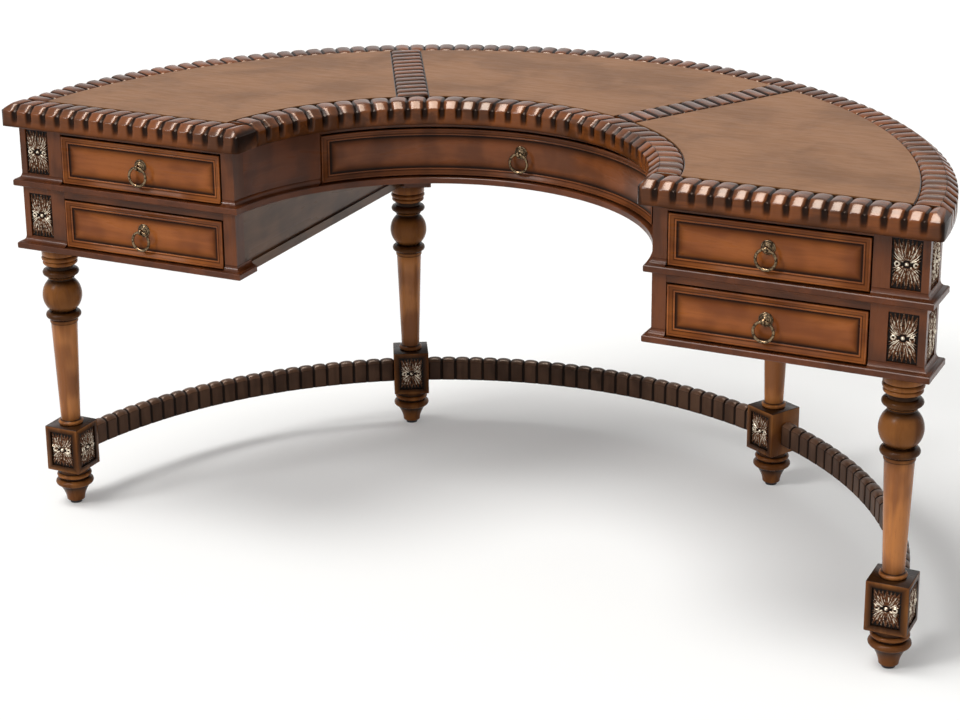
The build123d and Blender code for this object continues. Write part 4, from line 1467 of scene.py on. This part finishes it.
@dataclass(frozen=True)
class TurnedLeg:
    """One turned leg, from its foot to the case."""

    place_name: str
    x: float
    y: float
    turn: float
    plaque_turns: tuple[int, ...]
    foot_z: float = 6.0
    block_low: float = 72.0
    block_height: float = 86.5
    block_size: float = 69.0
    pocket_width: float = 47.6
    pocket_height: float = 66.6
    pocket_depth: float = 4.0

    @property
    def block_middle(self) -> float:
        """Height of the block's middle."""
        return self.block_low + self.block_height / 2

    def frame(self) -> Matrix:
        """Place of the leg's axis on the floor."""
        return Matrix.Translation((self.x, self.y, 0.0)) @ Matrix.Rotation(-math.radians(self.turn), 4, "Z")

    @staticmethod
    def bead(low: float, tall: float, radius: float, root: float, dark: float) -> list[Row]:
        """Rows of a half-round ring, darkest at its root, where painted shade lies.

        Args:
            low: Level of its lower edge.
            tall: Height of the ring.
            radius: Radius at its middle.
            root: Radius where it meets the turning.
            dark: Least darkness on it.

        Returns:
            Radius, height and glaze of each row, from its lower to its upper edge.
        """
        rows = []
        for turn in np.linspace(-78.0, 78.0, 9):
            radians = math.radians(turn)
            swell = math.cos(radians)
            rows.append((root + (radius - root) * swell, low + tall / 2 * (1 + math.sin(radians)),
                         max(dark, 0.9 * (1 - swell) ** 1.5)))
        return rows

    def foot_rows(self) -> list[Row]:
        """Rows of the foot: hollow cup, dark torus, fine ring and neck.

        Returns:
            Radius, height and darkness of each row.
        """
        # The cup darkens upwards under the torus, and the neck between the rings is nearly black: painted
        # shade
        rows = [(15.6, self.foot_z, 0.6)]
        for share in np.linspace(0.0, 1.0, 9):
            rows.append((16.5 + 12.0 * share**1.7, self.foot_z + 1.0 + 30.0 * share, 0.42 + 0.4 * share**3))
        rows += self.bead(37.0, 13.0, 35.0, 26.5, 0.5)
        rows += [(26.0, 50.6, 1.0), (26.0, 53.2, 1.0)]
        rows += self.bead(54.0, 8.0, 32.0, 27.0, 0.4)
        rows += [(27.0, 62.4, 0.8), (27.0, 72.5, 0.4)]
        return rows

    def shaft_rows(self) -> list[Row]:
        """Rows of the shaft: collar, taper, fillet, ring, ball, disc, waist and two rings.

        Returns:
            Radius, height and darkness of each row.
        """
        block_top = self.block_low + self.block_height
        # Painted shade darkens the roots of the collar and rings, both ends of the taper, the fillets and the
        # necks; the ball is darker than the shaft, and darker still towards the necks with painted shade
        rows = [(20.0, block_top - 0.5, 0.9)] + self.bead(block_top, 8.0, 23.0, 18.5, 0.4)
        rows += [(17.8, 167.4, 0.85)]
        for share in np.linspace(0.0, 1.0, 12):
            rows.append((17.8 + 6.3 * share, 169.0 + 188.0 * share, 0.45 * (1 - smooth(0.0, 0.14, share))
                         + 0.35 * smooth(0.9, 1.0, share)))
        rows += [(25.2, 358.6, 0.7), (25.6, 360.4, 0.45), (25.6, 363.8, 0.45), (25.2, 365.6, 0.95)]
        rows += self.bead(366.6, 13.0, 32.0, 25.0, 0.66)
        rows += [(24.6, 380.4, 1.0)]
        for turn in np.linspace(-57.0, 57.0, 19):
            radians = math.radians(turn)
            rows.append((35.75 * math.cos(radians) ** 0.86, 411.0 + 35.6 * math.sin(radians),
                         0.5 + 0.3 * smooth(30.0, 57.0, abs(turn))))
        rows += [(23.5, 441.6, 1.0), (23.8, 444.0, 0.8), (25.2, 445.6, 0.5), (24.4, 447.4, 0.9)]
        rows += self.bead(448.4, 13.0, 33.0, 25.0, 0.68)
        rows += [(24.4, 462.2, 1.0), (24.0, 469.0, 1.0)]
        rows += self.bead(470.0, 8.0, 31.5, 27.0, 0.38)
        rows += self.bead(478.0, 9.0, 33.2, 28.0, 0.38)
        rows += [(31.0, 487.6, 0.95), (32.4, 489.0, 0.3), (32.4, 507.0, 0.6)]
        return rows

    def block(self) -> Draft:
        """Square block with a sunk pocket behind each rosette.

        Returns:
            The block as one closed shell, on the leg's axis.
        """
        rings = rounded_box((self.block_size, self.block_size, self.block_height),
                            (0.0, 0.0, self.block_middle), 0.9)
        points = rings.reshape(-1, 3).tolist()
        glaze = [value for value in (0.7, 0.46, 0.46, 0.9) for _ in range(8)]     # darkness of the four sections: most at the top edge, less at the bottom edge, least on the flats
        faces: list[tuple[int, ...]] = [tuple(range(8)), tuple(range(24, 32))]
        side_of = {1: -90, 3: 0, 5: 90, 7: 180}      # turn of each flat side, by its first point
        for row in (0, 8, 16):
            for column in range(8):
                after = (column + 1) % 8
                corners = (row + column, row + after, row + 8 + after, row + 8 + column)
                turn = side_of.get(column)
                if row != 8 or turn not in self.plaque_turns:
                    faces.append(corners)
                    continue
                start = len(points)
                face = Matrix.Rotation(math.radians(turn), 4, "Z")
                # painted shade in the pocket, nearly black at its floor
                for depth, dark in ((0.0, 0.8), (self.pocket_depth, 1.0)):
                    for across, up in ((1, -1), (-1, -1), (-1, 1), (1, 1)):
                        spot = (across * self.pocket_width / 2, self.block_size / 2 - depth,
                                self.block_middle + up * self.pocket_height / 2)
                        points.append(tuple(face @ Vector(spot)))
                        glaze.append(dark)
                for index in range(4):
                    beside = (index + 1) % 4
                    faces.append((corners[index], corners[beside], start + beside, start + index))
                    faces.append((start + index, start + beside, start + 4 + beside, start + 4 + index))
                faces.append(tuple(range(start + 4, start + 8)))
        draft = Draft()
        draft.add(points, faces, glaze)
        return draft

    def draft(self) -> Draft:
        """The whole leg.

        Returns:
            Block, foot and shaft, in their place in the plan.
        """
        draft = self.block()
        for rows in (self.foot_rows(), self.shaft_rows()):
            draft.lathe(rows, 64)
        return draft.moved(self.frame())


LEG_INSET = 40.0
FRONT_LEG = TurnedLeg("front", PLAN.outer_x - LEG_INSET, PLAN.case_front + LEG_INSET, 0.0, (90, 180, -90))
BACK_LEG = TurnedLeg("back", *on_circle(PLAN.leg_ring_r, PLAN.leg_turn), PLAN.leg_turn, (0, 180))


@dataclass
class LegsAndStretcher:
    """Four turned legs and the ribbed stretcher between their blocks."""

    finishes: Finishes
    ribs: RibbedRun
    width: float = 24.0
    height: float = 46.0
    pitch: float = 28.5

    def stretcher_rows(self) -> list[RibRow]:
        """Profile of the stretcher: ribbed on both faces, with a domed top.

        Returns:
            Lines from the foot of one face, over the top, to the foot of the other.
        """
        low = FRONT_LEG.block_middle - self.height / 2
        high, width, edge = low + self.height, self.width, 2.2
        shoulder = high - 7.5
        # The faces are painted darker than the top, and the foot and the shoulder's crease darker still:
        # painted shade
        half = [RibRow(edge, low, 0.0, 1.0, 0.7), RibRow(0.0, low + edge, 0.0, 1.6, 0.45),
                RibRow(0.0, low + 6.0, 0.0, 2.2, 0.34, glazed=0.85),
                RibRow(0.0, shoulder - 1.4, 0.0, 2.6, 0.3, glazed=0.85),
                RibRow(0.0, shoulder - 0.5, 0.0, 2.6, 0.4), RibRow(0.1, shoulder, 30.0, 3.0, 0.55),
                RibRow(0.7, shoulder + 0.8, 70.0, 3.6, 0.0),
                RibRow(3.0, high - 3.6, 80.0, 4.4), RibRow(7.0, high - 1.1, 87.0, 4.9)]
        return half + [RibRow(width / 2, high, 90.0, 5.2)] + [row.opposite(width) for row in reversed(half)]

    def stretchers(self) -> None:
        """Makes the three curved rails."""
        radius = PLAN.leg_ring_r + self.width / 2
        half_block = FRONT_LEG.block_size / 2
        beside_leg = math.degrees(math.asin(half_block / PLAN.leg_ring_r))
        front_turn = end_angle(PLAN.leg_ring_r, FRONT_LEG.y + half_block)
        spans = {
            "stretcher_centre": (-PLAN.leg_turn + beside_leg, PLAN.leg_turn - beside_leg),
            "stretcher_right": (PLAN.leg_turn + beside_leg, front_turn),
            "stretcher_left": (-front_turn, -PLAN.leg_turn - beside_leg),
        }
        for name, (start, end) in spans.items():
            middle, half_angle = math.radians((start + end) / 2), math.radians(end - start) / 2
            length = 2 * half_angle * radius
            count = round(length / self.pitch)
            pitch = length / count
            unit = rib_unit(name, self.stretcher_rows(), pitch, 0.0, dark_from=0.38, face_from=0.35)
            mesh = self.ribs.run(unit, self.finishes.stretcher, Count=count, Pitch=pitch * MM,
                                 Half_Length=length / 2 * MM, Face_Radius=radius * MM, Inward_Sign=-1.0,
                                 Middle_Angle=middle, Half_Angle=half_angle, Centre_Y=-PLAN_MIDDLE_Y * MM,
                                 Bent=True, Seed=11)
            for angle, way in ((start, -1.0), (end, 1.0)):
                x, y = on_circle(radius, angle)
                turn = math.radians(angle)
                cut(mesh, (x, y, 0.0), (way * math.cos(turn), -way * math.sin(turn), 0.0))
            place("ribbed_" + name, mesh, self.finishes.stretcher, name)

    def build(self) -> None:
        """Makes the legs and the stretcher."""
        for leg in (FRONT_LEG, BACK_LEG):
            draft = leg.draft()
            for side, one in (("right", draft), ("left", draft.mirrored())):
                name = f"leg_{leg.place_name}_{side}"
                place("turned_" + name, one, self.finishes.leg, name, sharp_degrees=50.0)
        self.stretchers()


@dataclass(frozen=True)
class RingPull:
    """Stepped round plate, eye and hanging ring of a drawer's pull."""

    stand: float = 12.0
    ring_r: float = 16.6
    wire_r: float = 2.45
    eye_r: float = 4.05
    eye_wire_r: float = 1.42
    rise: float = 6.0
    shank_r: float = 2.0
    shank_reach: float = 9.0
    nut_r: float = 4.5
    nut_thick: float = 3.0

    def plate(self, wall: float) -> Draft:
        """Plate, stem, eye, shank and nut, facing -Y from a field at y = 0.

        Args:
            wall: Thickness of the drawer front behind the field.

        Returns:
            The mount's shells.
        """
        rows = [(0.4, 0.0, 0.6), (11.6, 0.0, 0.6), (12.0, 0.5, 0.3), (11.9, 1.2, 0.0), (11.2, 1.9, 0.0),
                (10.3, 2.1, 0.7), (9.8, 1.9, 1.0), (9.3, 2.2, 0.5), (8.9, 3.0, 0.0), (8.2, 3.8, 0.0),
                (7.3, 4.1, 0.5), (6.8, 4.0, 1.0), (6.4, 4.3, 0.4), (5.6, 5.2, 0.0), (4.4, 5.9, 0.0),
                (3.2, 6.2, 0.2), (2.6, 7.2, 0.3), (2.4, 8.4, 0.2), (2.2, 9.2, 0.2), (0.4, 9.3, 0.2)]
        draft = Draft()
        draft.lathe(rows, 40)
        draft.loft(turned([(self.shank_r, -wall - self.shank_reach), (self.shank_r, 0.2)], 16))
        draft.loft(turned([(self.nut_r, -wall - self.nut_thick), (self.nut_r, -wall)], 6))
        draft = draft.moved(Matrix.Rotation(math.pi / 2, 4, "X"))
        eye = torus(self.eye_r, self.eye_wire_r, 28, 14)
        upright = Matrix.Rotation(math.pi / 2, 4, "Y") @ Matrix.Diagonal((1.0, 1.0, 1.9, 1.0))
        draft.merge(eye.moved(Matrix.Translation((0.0, -self.stand, 0.0)) @ upright))
        return draft

    def ring(self) -> Draft:
        """Ring that hangs in the eye."""
        hanging = Matrix.Translation((0.0, -self.stand, -self.ring_r)) @ Matrix.Rotation(math.pi / 2, 4, "X")
        return torus(self.ring_r, self.wire_r, 64, 16).moved(hanging)


def torus(radius: float, wire_r: float, around: int, section: int) -> Draft:
    """A closed ring about Z.

    Args:
        radius: Radius of the wire's middle line.
        wire_r: Radius of the wire.
        around: Sections round the ring.
        section: Points round the wire.

    Returns:
        The ring as one closed shell.
    """
    sections = []
    for turn in np.linspace(0.0, 2 * math.pi, around, endpoint=False):
        sections.append([((radius + wire_r * math.cos(a)) * math.cos(turn),
                          (radius + wire_r * math.cos(a)) * math.sin(turn), wire_r * math.sin(a))
                         for a in np.linspace(0.0, 2 * math.pi, section, endpoint=False)])
    draft = Draft()
    draft.loft(np.array(sections), 0.15, loop=True)
    return draft


@dataclass
class Drawers:
    """Moulded fronts, boxes and pulls of the five drawers."""

    finishes: Finishes
    gap: float = 2.0
    thick: float = 20.0
    proud: float = 3.0
    sunk: float = 5.0
    frame_width: float = 13.5
    pull: RingPull = field(default_factory=RingPull)

    def front_rows(self) -> list[Row]:
        """Rows of a front's moulding.

        Returns:
            Inset, depth behind the face and darkness of each row, from the back edge to the field.
        """
        # Painted shade on the back edges in the gap round the front and in the moulding's hollows, and glaze
        # with painted shade along the field's edge
        sunk, width = self.sunk, self.frame_width
        return [(0.0, self.thick, 0.9), (0.0, 3.4, 0.9), (0.25, 1.5, 0.5), (0.9, 0.45, 0.1), (1.9, 0.0, 0.0),
                (2.9, 0.15, 0.2), (3.9, 0.75, 0.5), (5.4, 1.5, 0.34), (7.4, 2.5, 0.34), (9.2, 3.5, 0.5),
                (9.9, 3.8, 0.85), (10.3, 3.5, 0.3), (11.0, 3.15, 0.0), (11.9, 3.1, 0.0), (12.7, 3.6, 0.3),
                (13.2, 4.4, 0.9), (width, sunk, 1.0), (width + 1.3, sunk, 0.95), (width + 2.4, sunk, 0.7),
                (width + 5.0, sunk - 0.1, 0.48), (width + 11.0, sunk - 0.15, 0.25),
                (width + 20.0, sunk - 0.15, 0.04)]

    def front(self, width: float, height: float, bend: Callable[[float, float], tuple[float, float]],
              level: float, columns: int) -> Draft:
        """A moulded front, flat or hollow.

        Args:
            width: Width along the face.
            height: Height of the front.
            bend: Gives the plan's point for a distance along the face and a depth behind it.
            level: Height of the front's middle.
            columns: Steps along the face.

        Returns:
            The front as one closed shell.
        """
        sections, glaze = [], []
        for inset, depth, dark in self.front_rows():
            half_x, half_z = width / 2 - inset, height / 2 - inset
            ring = [(share * half_x, -half_z) for share in np.linspace(-1.0, 1.0, columns + 1)]
            ring += [(share * half_x, half_z) for share in np.linspace(1.0, -1.0, columns + 1)]
            sections.append([(*bend(along, depth), level + up) for along, up in ring])
            glaze.append([dark] * len(ring))
        size = 2 * (columns + 1)
        array = np.array(sections)
        faces = []
        for row in range(len(sections) - 1):
            for column in range(size):
                a, b = row * size, (row + 1) * size
                faces.append((a + column, a + (column + 1) % size, b + (column + 1) % size, b + column))
        for start in (0, (len(sections) - 1) * size):
            for column in range(columns):
                faces.append((start + column, start + column + 1, start + size - 2 - column,
                              start + size - 1 - column))
        draft = Draft()
        draft.add(array.reshape(-1, 3), faces, np.array(glaze).ravel())
        return draft

    def hang_pull(self, name: str, x: float, field_y: float, level: float) -> None:
        """Makes a drawer's mount and ring.

        Args:
            name: Name of the drawer.
            x: Place across the desk.
            field_y: Line of the drawer's field.
            level: Height of the eye.
        """
        spot = Matrix.Translation((x, field_y, level))
        mount = self.pull.plate(self.thick - self.sunk).moved(spot)
        place(f"{name}_cast_mount", mount, self.finishes.bronze, name + "_pull_mount",
              name + "_drawer", sharp_degrees=50.0)
        place(f"{name}_cast_ring", self.pull.ring().moved(spot), self.finishes.bronze,
              name + "_pull_ring", name + "_ring")

    def hang_front(self, name: str, draft: Draft, material: Material) -> None:
        """Places a drawer's front."""
        place(name + "_moulded_front", draft, material, name + "_front", name + "_drawer",
              sharp_degrees=50.0)

    def build(self) -> None:
        """Makes the five fronts and pulls, and dresses the boxes."""
        opening = PLAN.upper_head - PLAN.upper_sill
        height = opening - 2 * self.gap
        width = PLAN.opening_high_x - PLAN.opening_low_x - 2 * self.gap
        middle_x = (PLAN.opening_high_x + PLAN.opening_low_x) / 2
        face_y = PLAN.case_front - self.proud
        for tier, sill in (("lower", PLAN.lower_sill), ("upper", PLAN.upper_sill)):
            level = sill + opening / 2
            for side, sign in (("right", 1.0), ("left", -1.0)):
                name = f"{tier}_{side}"
                draft = self.front(
                    width, height, lambda along, depth: (sign * middle_x + along, face_y + depth), level, 4)
                self.hang_front(name, draft, self.finishes.front)
                self.hang_pull(name, sign * middle_x, face_y + self.sunk, level + self.pull.rise)
        face_r = PLAN.case_inner_r - self.proud
        half_x = PLAN.centre_half - self.gap
        half_along = face_r * math.radians(side_angle(face_r, half_x))

        def bent(along: float, depth: float) -> tuple[float, float]:
            """Point of the hollow front for a distance along its face."""
            radius = face_r + depth
            return on_circle(radius, along / half_along * side_angle(radius, half_x))

        level = PLAN.upper_sill + opening / 2
        draft = self.front(2 * half_along, height, bent, level, 96)
        self.hang_front("centre", draft, self.finishes.centre)
        self.hang_pull("centre", 0.0, face_r + self.sunk, level + self.pull.rise)
        for name in ("lower_left", "lower_right", "upper_left", "upper_right", "centre"):
            dress(name + "_box", self.finishes.inner)


@dataclass
class Studio:
    """Pale floor, soft lamps and the camera at the photograph's angle."""

    camera_place: tuple[float, float, float] = (1.5718, -3.5477, 1.7432)
    yaw: float = 25.27
    pitch: float = -18.11
    roll: float = -0.42
    focal_px: float = 2258.5
    drop_px: float = 100.0           # the photograph's upright edges were kept nearly parallel
    frame_px: float = 960.0
    fill: float = 0.4                # light of the surround on the desk
    floor_lift: float = 0.2
    sensor_mm: float = 36.0

    def camera(self) -> None:
        """Makes the camera."""
        data = bpy.data.cameras.new("camera")
        data.sensor_width = self.sensor_mm
        data.lens = self.focal_px / self.frame_px * self.sensor_mm
        data.shift_y = -self.drop_px / self.frame_px
        camera = bpy.data.objects.new("camera", data)
        turn = (Matrix.Rotation(math.radians(self.yaw), 4, "Z")
                @ Matrix.Rotation(math.radians(90.0 + self.pitch), 4, "X")
                @ Matrix.Rotation(math.radians(self.roll), 4, "Z"))
        camera.matrix_world = Matrix.Translation(self.camera_place) @ turn
        bpy.context.scene.collection.objects.link(camera)
        bpy.context.scene.camera = camera

    def floor(self) -> None:
        """Makes the pale floor, which keeps the desk's shadow."""
        half = 30.0                  # metres, past what any view sees
        mesh = bpy.data.meshes.new("floor")
        corners = [(-half, -half, 0.0), (half, -half, 0.0), (half, half, 0.0), (-half, half, 0.0)]
        mesh.from_pydata(corners, [], [(0, 1, 2, 3)])
        floor = bpy.data.objects.new("floor", mesh)
        material, node, shader = new_material("matte_white_floor_paint")
        feed(shader, {
            "Base Color": linear("#DADAD8"), "Roughness": 0.8, "Specular IOR Level": 0.1,
            "Emission Color": linear("#FFFFFF"),
            "Emission Strength": node(RAMP, (self.seen(node), 0.0, 1.0, 0.0, self.floor_lift), **EASED)})
        mesh.materials.append(material)
        bpy.context.scene.collection.objects.link(floor)

    @staticmethod
    def seen(node: Callable[..., Node]) -> Node:
        """1 where the camera sees the place, straight or by a mirror or glass.

        Args:
            node: Adds a node to the material or the world.

        Returns:
            Node whose output is 1 there.
        """
        rays = node("ShaderNodeLightPath").outputs
        straight_or_gloss = node(MATH, (rays["Is Camera Ray"], rays["Is Glossy Ray"]), operation="MAXIMUM")
        return node(MATH, (straight_or_gloss, rays["Is Transmission Ray"]), operation="MAXIMUM")

    def world(self) -> None:
        """Makes the even white surround."""
        world = bpy.data.worlds.new("surround")
        world.use_nodes = True
        world.node_tree.nodes.clear()
        node = partial(add_node, world.node_tree)
        strength = node(RAMP, (self.seen(node), 0.0, 1.0, self.fill, 1.0), **EASED)
        background = node("ShaderNodeBackground", {"Color": linear("#FAFAFA"), "Strength": strength})
        node("ShaderNodeOutputWorld", (background,))
        bpy.context.scene.world = world

    def lamp(self, name: str, from_way: tuple[float, float, float], strength: float, spread: float,
             gloss_only: bool = False, tint: str = "#FFFFFF") -> None:
        """Adds a far, wide lamp, which lights the floor evenly.

        Args:
            name: Name of the lamp.
            from_way: Direction from the desk to the lamp.
            strength: Light that it gives.
            spread: Width of its disc in degrees.
            gloss_only: Whether the lamp shows as a highlight and lights nothing else.
            tint: Colour of its light.
        """
        data = bpy.data.lights.new(name, "SUN")
        data.energy = strength
        data.angle = math.radians(spread)
        data.color = linear(tint)[:3]
        lamp = bpy.data.objects.new(name, data)
        lamp.matrix_world = Vector(from_way).to_track_quat("Z", "Y").to_matrix().to_4x4()
        lamp.visible_diffuse = not gloss_only
        bpy.context.scene.collection.objects.link(lamp)

    def build(self) -> None:
        """Makes the whole studio."""
        self.camera()
        self.floor()
        self.world()
        self.lamp("overhead", (-0.22, -0.2, 0.95), 1.95, 30.0)
        self.lamp("overhead_highlight", (-0.1, 0.03, 0.99), 6.5, 34.0, gloss_only=True, tint="#FFE8D2")
        self.lamp("key", (-0.6, -0.85, 0.8), 1.3, 16.0)
        bpy.context.scene.view_settings.view_transform = "Standard"


def main() -> None:
    """Builds the sub-assemblies in order, then the studio."""
    logging.basicConfig(level=logging.INFO, format="%(name)s %(message)s")
    finishes = Finishes()
    ribs = RibbedRun()
    CarvedTop(finishes, ribs).build()
    Case(finishes).build()
    Rosettes(finishes).build()
    LegsAndStretcher(finishes, ribs).build()
    Drawers(finishes).build()
    Studio().build()


if __name__ == "__main__":
    main()
